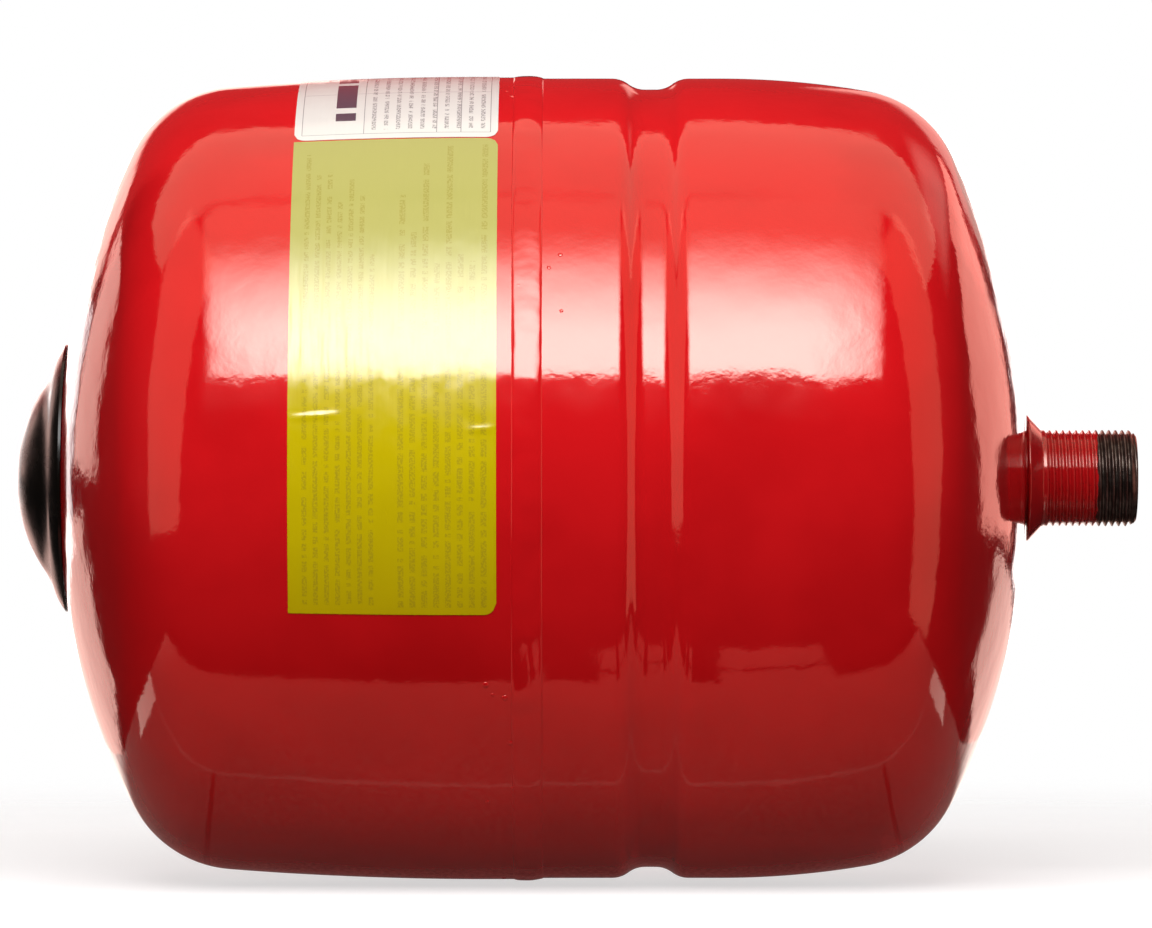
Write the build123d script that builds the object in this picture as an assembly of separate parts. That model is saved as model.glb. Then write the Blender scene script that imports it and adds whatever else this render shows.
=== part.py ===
from build123d import *
from dataclasses import dataclass
from math import cos, radians, sin, sqrt, tan
import os

# Expansion vessel for a heating system. It lies along X: the air valve is at -X, the water
# connection at +X, and +Z is up. The origin is on the axis, where the nipple's collar meets its
# thread. Lengths are in millimetres, and every outline is drawn as (x, radius).

# ---------------------------------------------------------------- driving dimensions
SHEET = 1.2                 # steel of both half shells
AIR_RADIUS = 110.1          # outside of the air half at the seam
WATER_RADIUS = 109.8        # outside of the water half
WATER_FLAT_X = -6.0         # flat end of the water half
AIR_FLAT_X = -268.4         # flat end of the air half
SEAM_X = -140.8             # middle of the weld that joins the halves
SEAM_GAP = 0.8              # weld metal between the two edges
SEAM_WELD_HALF = 4.2        # half the width of the weld bead
SEAM_WELD_CREST = 0.45      # its height above the air half

CROWN_RADIUS = 200.0        # spherical middle of each end
CROWN_CUT = 2.0             # how far each flat lies inside its crown sphere
KNUCKLE_RADIUS = 32.0       # tight bend from the crown to the wall
AIR_BOW_RADIUS = 870.0      # slight bow of the air half's wall
AIR_BOW_X = -154.1          # where that bow meets the straight wall
WATER_BOW_RADIUS = 240.0
WATER_BOW_X = -88.5

GROOVE_X = -107.5           # rolled groove that grips the diaphragm's rim
GROOVE_FLOOR = 3.0
GROOVE_SLOPE = 9.0
GROOVE_DEPTH = 3.0

WELL_RADIUS = 22.0          # well that holds the air valve
WELL_DEPTH = 12.0
WELL_BEND = 3.0

THREAD_PITCH = 1.814        # G 3/4 pipe thread
THREAD_CREST_RADIUS = 13.2205
THREAD_DEPTH = 1.162
THREAD_TURNS = 13
FLANK_ANGLE = 27.5
NIPPLE_END_X = 25.9
NIPPLE_INNER_X = -9.6
NIPPLE_BORE = 9.25
NECK_RADIUS = 12.95
NIPPLE_END_BEVEL = (0.6, 0.8, 1.5)   # length, then the drop at its start and at the end face
COLLAR_X = -4.2
COLLAR_LAND = 0.4
COLLAR_RADIUS = 17.25
NIPPLE_WELD_OUT = 2.6       # legs of the fillet round the neck
NIPPLE_WELD_UP = 1.3

VALVE_SHANK_RADIUS = 5.0    # M10 x 1
SHANK_PITCH = 1.0
SHANK_TURNS = 5
SHANK_THREAD_DEPTH = 0.55
VALVE_TIP_RADIUS = 3.875    # 8V1 cap thread
TIP_PITCH = 0.794
TIP_TURNS = 10
TIP_THREAD_DEPTH = 0.34
FLANGE_RADIUS = 8.5
FLANGE_THICKNESS = 2.0
TAIL_RADIUS = 4.0
TAIL_LENGTH = 3.0
CORE_BORE = 1.95            # bore round the core's barrel
PLUG_BORE = 2.65            # wider bore round the core's plug
SEAT_DEPTH = 6.0            # from the tip to the cone between the two bores
SEAT_LENGTH = 1.5
VALVE_CHAMFER = 0.4
WASHER_THICKNESS = 1.0
WASHER_RADIUS = 9.5
NUT_HEIGHT = 4.5
NUT_ACROSS_FLATS = 14.0
NUT_CHAMFER = 0.5
NUT_TO_TIP = 1.0            # shank that shows beyond the nut
TIP_LENGTH = 9.0
GASKET_THICKNESS = 1.5
GASKET_RADIUS = 8.0
FIT_GAP = 0.05              # clearance between pieces that nearly touch
RUNNING_GAP = 0.1           # clearance of the dust cap on its thread
DUST_CAP_RADIUS = 5.3
DUST_CAP_END_WALL = 1.3
DUST_CAP_CHAMFER = 0.8
DUST_CAP_GROOVES = 18
GRIP_GROOVE_RADIUS = 0.45
LINER_THICKNESS = 1.0
LINER_RADIUS = 3.6

PLUG_LENGTH = 4.6           # valve core
PLUG_RADIUS = 2.6
PLUG_PITCH = 0.705
PLUG_TURNS = 5
PLUG_THREAD_DEPTH = 0.3
PLUG_HOLE = 0.9
DRIVER_SLOT_WIDTH = 1.1
DRIVER_SLOT_DEPTH = 1.5
BARREL_LENGTH = 9.4
BARREL_RADIUS = 1.6
BARREL_WALL = 0.3
BARREL_LIP = 0.9
BARREL_LIP_HOLE = 0.75
PIN_RADIUS = 0.45
STOP_RADIUS = 1.1
STOP_THICKNESS = 0.8
STOP_OFFSET = 1.2
PIN_BEYOND_BARREL = 2.4
SPRING_WIRE = 0.11
SPRING_RADIUS = 0.9
SPRING_COILS = 7
SEAL_HEIGHT = 0.85
SEAL_RADIUS = 1.45
CUP_RADIUS = 1.65
CUP_FLOOR = 0.6
CORE_GAP = 0.01             # between pieces pressed together in the core

CAP_RADIUS = 36.7           # protective cap over the valve
CAP_APEX_X = -281.65
CAP_DOME_RADIUS = 45.0
CAP_DOME_EDGE = 25.5
CAP_FOOT_RADIUS = 31.0
CAP_FOOT_HEIGHT = 3.05      # the foot and the rim are measured from the plane at CAP_BASE_X
CAP_BASE_X = -267.95
CAP_SKIN = 1.8
CAP_GAP = 0.25
SPIGOT_THICKNESS = 1.6
SPIGOT_GAP = 0.3
SPIGOT_END_X = -260.4
SPIGOT_SLOTS = 4
SPIGOT_SLOT_WIDTH = 4.0
SPIGOT_SLOT_DEPTH = 8.0
SPIGOT_LEAD_IN = (0.8, 0.5)          # length and depth of the chamfer at its end
CAP_RIM_WIDTH = 1.9
CAP_RIM_ROOM = (1.0, 1.8)            # how far the hollow behind the foot steps back and in
CAP_HOLLOW_RADIUS = 25.6

LABEL_FROM_X = -203.1
LABEL_TO_X = -148.7
LABEL_THICKNESS = 0.12
LABEL_CORNER = 3.3
INSTRUCTION_ANGLES = (-18.8, 55.5)   # above the horizontal, on the -Y side
RATING_ANGLES = (55.8, 108.0)

RUBBER = 2.4                # diaphragm
BAG_RADIUS = 99.0
BAG_MOUTH_X = -94.6
BAG_APEX_X = -13.0
WEB_BEND = 2.0              # bend from the rim into the bag
BAG_BOW_RADIUS = 600.0
BAG_KNUCKLE_RADIUS = 30.0
BAG_CROWN_RADIUS = 185.0
CROWN_PIECE_RADIUS = 62.0   # the middle of the diaphragm, which travels
RING_THICKNESS = 1.8        # clamp ring
RING_RADIUS = 103.0
RING_LIP_HEIGHT = 3.2

# ---------------------------------------------------------------- derived positions
GROOVE_HALF = GROOVE_FLOOR / 2 + GROOVE_SLOPE
FLOOR_X = AIR_FLAT_X + WELL_DEPTH
GASKET_X = FLOOR_X + SHEET
FLANGE_X = GASKET_X + GASKET_THICKNESS
TAIL_X = FLANGE_X + FLANGE_THICKNESS + TAIL_LENGTH
NUT_X = FLOOR_X - WASHER_THICKNESS - NUT_HEIGHT
TIP_ROOT_X = NUT_X - NUT_TO_TIP
TIP_X = TIP_ROOT_X - TIP_LENGTH
LINER_X = TIP_X - FIT_GAP - LINER_THICKNESS
PLUG_X = TIP_X + 0.5
BARREL_X = PLUG_X + PLUG_LENGTH + FIT_GAP
BARREL_END_X = BARREL_X + BARREL_LENGTH
STOP_X = BARREL_X + STOP_OFFSET
STOP_END_X = STOP_X + STOP_THICKNESS
SEAL_X = BARREL_END_X + FIT_GAP
SEAL_END_X = SEAL_X + SEAL_HEIGHT


@dataclass
class DomeShape:
    """A dished end. way is +1 where it faces +X; the bow is its wall's slight outward curve."""

    apex_x: float
    way: int
    crown: float
    knuckle: float
    bow: float
    bow_x: float
    wall: float


AIR_DOME = DomeShape(
    AIR_FLAT_X - CROWN_CUT, -1, CROWN_RADIUS, KNUCKLE_RADIUS, AIR_BOW_RADIUS, AIR_BOW_X, AIR_RADIUS
)
WATER_DOME = DomeShape(
    WATER_FLAT_X + CROWN_CUT, 1, CROWN_RADIUS, KNUCKLE_RADIUS, WATER_BOW_RADIUS, WATER_BOW_X, WATER_RADIUS
)
BAG = DomeShape(
    BAG_APEX_X, 1, BAG_CROWN_RADIUS, BAG_KNUCKLE_RADIUS, BAG_BOW_RADIUS, BAG_MOUTH_X, BAG_RADIUS
)


# ---------------------------------------------------------------- outlines
def arc(start, centre, end):
    """The short arc from start to end about centre."""
    start, centre, end = Vector(*start), Vector(*centre), Vector(*end)
    outward = ((start - centre) + (end - centre)).normalized()
    return ThreePointArc(start, centre + outward * (start - centre).length, end)


def path(*points):
    """Straight edges through the points."""
    return [Line(a, b) for a, b in zip(points, points[1:])]


def spin(edges, sweep=360):
    """Turn a closed outline about the vessel's axis."""
    return revolve(make_face(Wire(edges)), Axis.X, sweep)


def ring(*corners):
    """Turned piece with straight-sided section."""
    return spin(path(*corners, corners[0]))


def tube(x_from, x_to, inner, outer):
    return ring((x_from, inner), (x_to, inner), (x_to, outer), (x_from, outer))


def meeting_centre(centre_a, reach_a, centre_b, reach_b):
    """The point at the two given distances from two centres, on the side away from the axis."""
    a, b = Vector(*centre_a), Vector(*centre_b)
    line = b - a
    along = (reach_a**2 - reach_b**2 + line.length**2) / (2 * line.length)
    aside = sqrt(reach_a**2 - along**2)
    unit = line.normalized()
    normal = Vector(-unit.Y, unit.X)
    choices = [a + unit * along + normal * side for side in (aside, -aside)]
    return max(choices, key=lambda point: point.Y)


def dome(shape, inset, start_radius):
    """Crown, knuckle and bowed wall, tangent to each other, from start_radius out to the wall.

    inset moves the whole outline inwards, as the other face of a sheet that thick.
    """
    way, crown, bow = shape.way, shape.crown - inset, shape.bow - inset
    crown_centre = (shape.apex_x - way * shape.crown, 0)
    bow_centre = (shape.bow_x, shape.wall - shape.bow)
    knuckle_centre = meeting_centre(
        crown_centre, shape.crown - shape.knuckle, bow_centre, shape.bow - shape.knuckle
    )
    centres = [Vector(*crown_centre), knuckle_centre, Vector(*bow_centre)]
    start = (crown_centre[0] + way * sqrt(crown**2 - start_radius**2), start_radius)
    crown_end = centres[0] + (centres[1] - centres[0]).normalized() * crown
    bow_start = centres[2] + (centres[1] - centres[2]).normalized() * bow
    wall_end = (shape.bow_x, shape.wall - inset)
    ends = [start, (crown_end.X, crown_end.Y), (bow_start.X, bow_start.Y), wall_end]
    return [arc(a, (c.X, c.Y), b) for a, b, c in zip(ends, ends[1:], centres)]


def groove(inset):
    """Rolled groove from its left edge to its right, inset from the water half's outside."""
    top = WATER_RADIUS - inset
    bottom = top - GROOVE_DEPTH
    bend = (GROOVE_SLOPE**2 + GROOVE_DEPTH**2) / (4 * GROOVE_DEPTH)
    crest_bend, floor_bend = bend - inset, bend + inset
    share = crest_bend / (crest_bend + floor_bend)
    half = GROOVE_FLOOR / 2
    edges = []
    for side in (-1, 1):
        outer = (GROOVE_X + side * GROOVE_HALF, top)
        middle = (outer[0] - side * share * GROOVE_SLOPE, top - share * GROOVE_DEPTH)
        inner = (GROOVE_X + side * half, bottom)
        edges.append(arc(outer, (outer[0], top - crest_bend), middle))
        edges.append(arc(middle, (inner[0], bottom + floor_bend), inner))
    edges.append(Line((GROOVE_X - half, bottom), (GROOVE_X + half, bottom)))
    return edges


def thread_outline(start_x, turns, pitch, depth, crest_radius, way=1):
    """Crests and roots of a thread, drawn as rings, from start_x towards way."""
    flank = depth * tan(radians(FLANK_ANGLE))
    flat = pitch / 2 - flank
    steps = [(0, 0), (flat, 0), (flat + flank, depth), (2 * flat + flank, depth)]
    points = []
    for turn in range(turns):
        for step, drop in steps:
            points.append((start_x + way * (turn * pitch + step), crest_radius - drop))
    end_x = start_x + way * turns * pitch
    return points + [(end_x, crest_radius), (end_x + way * flat, crest_radius)]


def flat_edge(inset):
    """Radius of the flat that cuts a crown sphere."""
    return sqrt((CROWN_RADIUS - inset) ** 2 - (CROWN_RADIUS - CROWN_CUT - inset) ** 2)


def air_crown_x(radius):
    """Outside of the air half's crown at this radius."""
    return AIR_FLAT_X - CROWN_CUT + CROWN_RADIUS - sqrt(CROWN_RADIUS**2 - radius**2)


# ---------------------------------------------------------------- vessel
def close(outer, inner):
    """Closed outline of a sheet from its two faces, each a list of edges from the same end."""
    return outer + inner + [Line(outer[0] @ 0, inner[0] @ 0), Line(outer[-1] @ 1, inner[-1] @ 1)]


def air_face(inset):
    """Outline of the air half from the valve's hole to the seam."""
    bend = WELL_BEND
    floor_x, top_x = FLOOR_X + inset, AIR_FLAT_X + inset
    wall = WELL_RADIUS + inset
    low, high = (FLOOR_X - bend, WELL_RADIUS - bend), (AIR_FLAT_X + bend, WELL_RADIUS + bend)
    return [
        Line((floor_x, VALVE_SHANK_RADIUS + RUNNING_GAP), (floor_x, low[1])),
        arc((floor_x, low[1]), low, (low[0], wall)),
        Line((low[0], wall), (high[0], wall)),
        arc((high[0], wall), high, (top_x, high[1])),
        Line((top_x, high[1]), (top_x, flat_edge(inset))),
        *dome(AIR_DOME, inset, flat_edge(inset)),
        Line((AIR_BOW_X, AIR_RADIUS - inset), (SEAM_X - SEAM_GAP / 2, AIR_RADIUS - inset)),
    ]


def water_face(inset):
    """Outline of the water half from the nipple's hole to the seam."""
    flat_x, wall = WATER_FLAT_X - inset, WATER_RADIUS - inset
    return [
        Line((flat_x, NECK_RADIUS + FIT_GAP), (flat_x, flat_edge(inset))),
        *dome(WATER_DOME, inset, flat_edge(inset)),
        Line((WATER_BOW_X, wall), (GROOVE_X + GROOVE_HALF, wall)),
        *groove(inset),
        Line((GROOVE_X - GROOVE_HALF, wall), (SEAM_X + SEAM_GAP / 2, wall)),
    ]


def air_shell():
    return spin(close(air_face(0), air_face(SHEET)))


def water_shell():
    return spin(close(water_face(0), water_face(SHEET)))


def seam_weld():
    """Weld bead over the seam, with its root between the two edges."""
    facets = 10
    root = WATER_RADIUS - SHEET
    gap_left, gap_right = SEAM_X - SEAM_GAP / 2, SEAM_X + SEAM_GAP / 2
    bead = []
    for index in range(facets + 1):
        across = 1 - 2 * index / facets
        base = AIR_RADIUS + (WATER_RADIUS - AIR_RADIUS) * (1 + across) / 2
        crest = (AIR_RADIUS + SEAM_WELD_CREST - (AIR_RADIUS + WATER_RADIUS) / 2) * (1 - across**2)
        bead.append((SEAM_X + across * SEAM_WELD_HALF, base + crest))
    return ring(
        *bead, (gap_left, AIR_RADIUS), (gap_left, root), (gap_right, root), (gap_right, WATER_RADIUS)
    )


def water_nipple():
    """Turned nipple: neck, conical collar, G 3/4 thread and a tapered end."""
    threads = thread_outline(0, THREAD_TURNS, THREAD_PITCH, THREAD_DEPTH, THREAD_CREST_RADIUS)
    bevel, first_drop, end_drop = NIPPLE_END_BEVEL
    return ring(
        (NIPPLE_INNER_X, NIPPLE_BORE),
        (NIPPLE_INNER_X, NECK_RADIUS - 1),
        (NIPPLE_INNER_X + 1, NECK_RADIUS),
        (COLLAR_X, NECK_RADIUS),
        (COLLAR_X, COLLAR_RADIUS),
        (COLLAR_X + COLLAR_LAND, COLLAR_RADIUS),
        *threads,
        (NIPPLE_END_X - bevel, THREAD_CREST_RADIUS - first_drop),
        (NIPPLE_END_X, THREAD_CREST_RADIUS - end_drop),
        (NIPPLE_END_X, NIPPLE_BORE),
    )


def nipple_weld():
    """Hollow-faced fillet between the water half's flat and the nipple's neck."""
    inner = NECK_RADIUS + FIT_GAP
    outer = inner + NIPPLE_WELD_OUT
    top_x = WATER_FLAT_X + NIPPLE_WELD_UP
    hollow = (WATER_FLAT_X + 0.27 * NIPPLE_WELD_UP, inner + 0.38 * NIPPLE_WELD_OUT)
    face = ThreePointArc((WATER_FLAT_X, outer), hollow, (top_x, inner))
    return spin(path((top_x, inner), (WATER_FLAT_X, inner), (WATER_FLAT_X, outer)) + [face])


def film(angles):
    """Thin sheet on the air half's wall, between two angles above the horizontal on the -Y side."""
    centre = (AIR_BOW_X, AIR_RADIUS - AIR_BOW_RADIUS)
    reach = AIR_BOW_X - LABEL_FROM_X
    faces = []
    for lift in (0, LABEL_THICKNESS):
        bow = AIR_BOW_RADIUS + lift
        start = (LABEL_FROM_X, centre[1] + sqrt(bow**2 - reach**2))
        wall = AIR_RADIUS + lift
        faces.append([arc(start, centre, (AIR_BOW_X, wall)), Line((AIR_BOW_X, wall), (LABEL_TO_X, wall))])
    low, high = angles
    return Rot(X=180 - high) * spin(close(*faces), high - low)


def corner_cutter(x, angle, side_x, side_up):
    """What rounding takes off a label's corner, as a prism along the shell's radius."""
    outward = Vector(0, -cos(radians(angle)), sin(radians(angle)))
    frame = Plane(origin=Vector(x, 0, 0) + outward * AIR_RADIUS, x_dir=(1, 0, 0), z_dir=outward)
    waste = Rectangle(2 * LABEL_CORNER, 2 * LABEL_CORNER)
    waste -= Pos(-side_x * LABEL_CORNER, -side_up * LABEL_CORNER) * Circle(LABEL_CORNER)
    return extrude(frame * waste, 4, both=True)


def instruction_label():
    """Yellow label, rounded only on the side towards the seam."""
    sheet = film(INSTRUCTION_ANGLES)
    for angle, side_up in zip(INSTRUCTION_ANGLES, (-1, 1)):
        sheet -= corner_cutter(LABEL_TO_X, angle, 1, side_up)
    return sheet


def rating_label():
    """White label, rounded at each corner."""
    sheet = film(RATING_ANGLES)
    for x, side_x in ((LABEL_FROM_X, -1), (LABEL_TO_X, 1)):
        for angle, side_up in zip(RATING_ANGLES, (-1, 1)):
            sheet -= corner_cutter(x, angle, side_x, side_up)
    return sheet


# ---------------------------------------------------------------- diaphragm
def clamp_ring():
    """Steel ring with a turned-up lip, which presses the rubber against the groove."""
    inner = RING_RADIUS - RING_THICKNESS
    left = GROOVE_X - GROOVE_HALF - FIT_GAP - RING_THICKNESS
    right = GROOVE_X + GROOVE_HALF - RUBBER - FIT_GAP
    lip = RING_RADIUS + RING_LIP_HEIGHT
    return ring(
        (left, inner), (right, inner), (right, RING_RADIUS),
        (left + RING_THICKNESS, RING_RADIUS), (left + RING_THICKNESS, lip), (left, lip),
    )


def diaphragm_crown():
    """Middle of the diaphragm, which the water pushes towards the air side."""
    radius = CROWN_PIECE_RADIUS
    edges = []
    ends = []
    for inset in (0, RUBBER):
        crown = BAG_CROWN_RADIUS - inset
        centre = (BAG_APEX_X - BAG_CROWN_RADIUS, 0)
        apex = (centre[0] + crown, 0)
        edge = (centre[0] + sqrt(crown**2 - radius**2), radius)
        edges.append(arc(apex, centre, edge))
        ends.append((apex, edge))
    edges.append(Line(ends[0][0], ends[1][0]))
    edges.append(Line(ends[0][1], ends[1][1]))
    return spin(edges)


def diaphragm_wall():
    """Flexible side of the diaphragm, from its crown to its rim."""
    return spin(close(dome(BAG, 0, CROWN_PIECE_RADIUS), dome(BAG, RUBBER, CROWN_PIECE_RADIUS)))


def diaphragm_rim():
    """Thick rim, gripped under the groove, with the web that goes round the clamp ring's edge."""
    grip = groove(SHEET + FIT_GAP)
    start, end = grip[0] @ 0, grip[2] @ 0
    seat = RING_RADIUS + FIT_GAP
    web_x = end.X - RUBBER
    centre = (end.X + WEB_BEND, BAG_RADIUS + WEB_BEND)
    inner = BAG_RADIUS - RUBBER
    edges = grip + [
        *path((start.X, start.Y), (start.X, seat), (web_x, seat), (web_x, centre[1])),
        arc((web_x, centre[1]), centre, (centre[0], inner)),
        *path((centre[0], inner), (BAG_MOUTH_X, inner), (BAG_MOUTH_X, BAG_RADIUS), (centre[0], BAG_RADIUS)),
        arc((centre[0], BAG_RADIUS), centre, (end.X, centre[1])),
        Line((end.X, centre[1]), (end.X, end.Y)),
    ]
    return spin(edges)


# ---------------------------------------------------------------- air valve
def valve_stem():
    """Brass body: flange inside the shell, threaded shank through it and a smaller threaded tip."""
    shank = thread_outline(
        FLOOR_X - WASHER_THICKNESS, SHANK_TURNS, SHANK_PITCH, SHANK_THREAD_DEPTH, VALVE_SHANK_RADIUS, way=-1
    )
    tip = thread_outline(
        TIP_ROOT_X - VALVE_CHAMFER, TIP_TURNS, TIP_PITCH, TIP_THREAD_DEPTH, VALVE_TIP_RADIUS, way=-1
    )
    return ring(
        (TAIL_X, CORE_BORE),
        (TAIL_X, TAIL_RADIUS - VALVE_CHAMFER),
        (TAIL_X - VALVE_CHAMFER, TAIL_RADIUS),
        (FLANGE_X + FLANGE_THICKNESS, TAIL_RADIUS),
        (FLANGE_X + FLANGE_THICKNESS, FLANGE_RADIUS),
        (FLANGE_X, FLANGE_RADIUS),
        (FLANGE_X, VALVE_SHANK_RADIUS),
        *shank,
        (TIP_ROOT_X, VALVE_SHANK_RADIUS - SHANK_THREAD_DEPTH),
        (TIP_ROOT_X, VALVE_TIP_RADIUS),
        *tip,
        (TIP_X, VALVE_TIP_RADIUS - VALVE_CHAMFER),
        (TIP_X, PLUG_BORE),
        (TIP_X + SEAT_DEPTH, PLUG_BORE),
        (TIP_X + SEAT_DEPTH + SEAT_LENGTH, CORE_BORE),
    )


def valve_gasket():
    return tube(GASKET_X, FLANGE_X, VALVE_SHANK_RADIUS + FIT_GAP, GASKET_RADIUS)


def valve_washer():
    return tube(FLOOR_X - WASHER_THICKNESS, FLOOR_X, VALVE_SHANK_RADIUS + RUNNING_GAP, WASHER_RADIUS)


def valve_nut():
    """Hexagon nut with both faces chamfered to a circle."""
    flat, corner = NUT_ACROSS_FLATS / 2, NUT_ACROSS_FLATS / 2 / cos(radians(30))
    hexagon = RegularPolygon(corner, 6) - Circle(VALVE_SHANK_RADIUS + FIT_GAP)
    prism = extrude(Plane.YZ.offset(NUT_X) * hexagon, NUT_HEIGHT)
    end_x = NUT_X + NUT_HEIGHT
    barrel = ring(
        (NUT_X, 0), (NUT_X, flat), (NUT_X + NUT_CHAMFER, corner), (end_x - NUT_CHAMFER, corner),
        (end_x, flat), (end_x, 0),
    )
    return prism & barrel


def dust_cap():
    """Small screw cap with grip grooves round its side."""
    bore = VALVE_TIP_RADIUS + RUNNING_GAP
    inside_x = LINER_X - FIT_GAP
    closed_x = inside_x - DUST_CAP_END_WALL
    open_x = TIP_ROOT_X - 0.5
    cap = ring(
        (closed_x, 0), (closed_x, DUST_CAP_RADIUS - DUST_CAP_CHAMFER),
        (closed_x + DUST_CAP_CHAMFER, DUST_CAP_RADIUS), (open_x, DUST_CAP_RADIUS),
        (open_x, bore), (inside_x, bore), (inside_x, 0),
    )
    margin = 2 * DUST_CAP_CHAMFER
    groove_plane = Plane.YZ.offset(closed_x + margin)
    groove_centre = Pos(DUST_CAP_RADIUS + GRIP_GROOVE_RADIUS / 3, 0)
    grip_length = open_x - closed_x - 2 * margin
    cutter = extrude(groove_plane * groove_centre * Circle(GRIP_GROOVE_RADIUS), grip_length)
    for index in range(DUST_CAP_GROOVES):
        cap -= Rot(X=index * 360 / DUST_CAP_GROOVES) * cutter
    return cap


def dust_cap_gasket():
    return tube(LINER_X, LINER_X + LINER_THICKNESS, 0, LINER_RADIUS)


# ---------------------------------------------------------------- valve core
def core_plug():
    """Threaded plug with a driver slot across its outer face."""
    lead = VALVE_CHAMFER
    end_x = PLUG_X + PLUG_LENGTH
    threads = thread_outline(PLUG_X + lead, PLUG_TURNS, PLUG_PITCH, PLUG_THREAD_DEPTH, PLUG_RADIUS)
    root = PLUG_RADIUS - PLUG_THREAD_DEPTH
    plug = ring((PLUG_X, PLUG_HOLE), (PLUG_X, root), *threads, (end_x, root), (end_x, PLUG_HOLE))
    slot = Pos(PLUG_X, 0, 0) * Box(2 * DRIVER_SLOT_DEPTH, 3 * PLUG_RADIUS, DRIVER_SLOT_WIDTH)
    return plug - slot


def core_collar_seal():
    """Tapered seal that closes the core against the stem's cone."""
    cone_x = TIP_X + SEAT_DEPTH
    end_x = cone_x + 1.0
    wide, narrow = PLUG_BORE - 0.15, CORE_BORE + 0.15
    return ring(
        (BARREL_X, BARREL_RADIUS), (BARREL_X, wide), (cone_x - FIT_GAP, wide),
        (end_x, narrow), (end_x, BARREL_RADIUS),
    )


def core_barrel():
    """Thin tube round the spring, turned in at its inner end to carry it."""
    inside = BARREL_RADIUS - BARREL_WALL
    lip_x = BARREL_END_X - BARREL_LIP
    return ring(
        (BARREL_X, inside), (lip_x, inside), (lip_x, BARREL_LIP_HOLE), (BARREL_END_X, BARREL_LIP_HOLE),
        (BARREL_END_X, BARREL_RADIUS), (BARREL_X, BARREL_RADIUS),
    )


def core_pin():
    """Pin with a stop collar that the spring pushes on."""
    lead = 0.1
    start_x, end_x = TIP_X + 0.3, BARREL_END_X + PIN_BEYOND_BARREL
    return ring(
        (start_x, 0), (start_x, PIN_RADIUS - lead), (start_x + lead, PIN_RADIUS), (STOP_X, PIN_RADIUS),
        (STOP_X, STOP_RADIUS), (STOP_END_X, STOP_RADIUS), (STOP_END_X, PIN_RADIUS),
        (end_x, PIN_RADIUS), (end_x, 0),
    )


def core_spring():
    """Coil spring between the pin's stop and the barrel's lip."""
    room = SPRING_WIRE + FIT_GAP
    start_x = STOP_END_X + room
    height = BARREL_END_X - BARREL_LIP - room - start_x
    centre_line = Helix(pitch=height / SPRING_COILS, height=height, radius=SPRING_RADIUS)
    section = Plane(centre_line @ 0, z_dir=centre_line % 0) * Circle(SPRING_WIRE)
    coil = sweep(section, path=centre_line, is_frenet=True)
    return Pos(start_x, 0, 0) * Rot(Y=90) * coil


def core_seal():
    return tube(SEAL_X, SEAL_END_X, PIN_RADIUS + CORE_GAP, SEAL_RADIUS)


def core_cup():
    """Brass cup that holds the seal on the pin."""
    floor_x = SEAL_END_X + CORE_GAP
    end_x = floor_x + CUP_FLOOR
    hole, side = PIN_RADIUS + CORE_GAP, SEAL_RADIUS + CORE_GAP
    mouth_x = SEAL_X + 0.15
    return ring(
        (floor_x, hole), (end_x, hole), (end_x, PIN_RADIUS + 0.75), (end_x - 0.3, CUP_RADIUS),
        (mouth_x, CUP_RADIUS), (mouth_x, side), (floor_x, side),
    )


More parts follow.
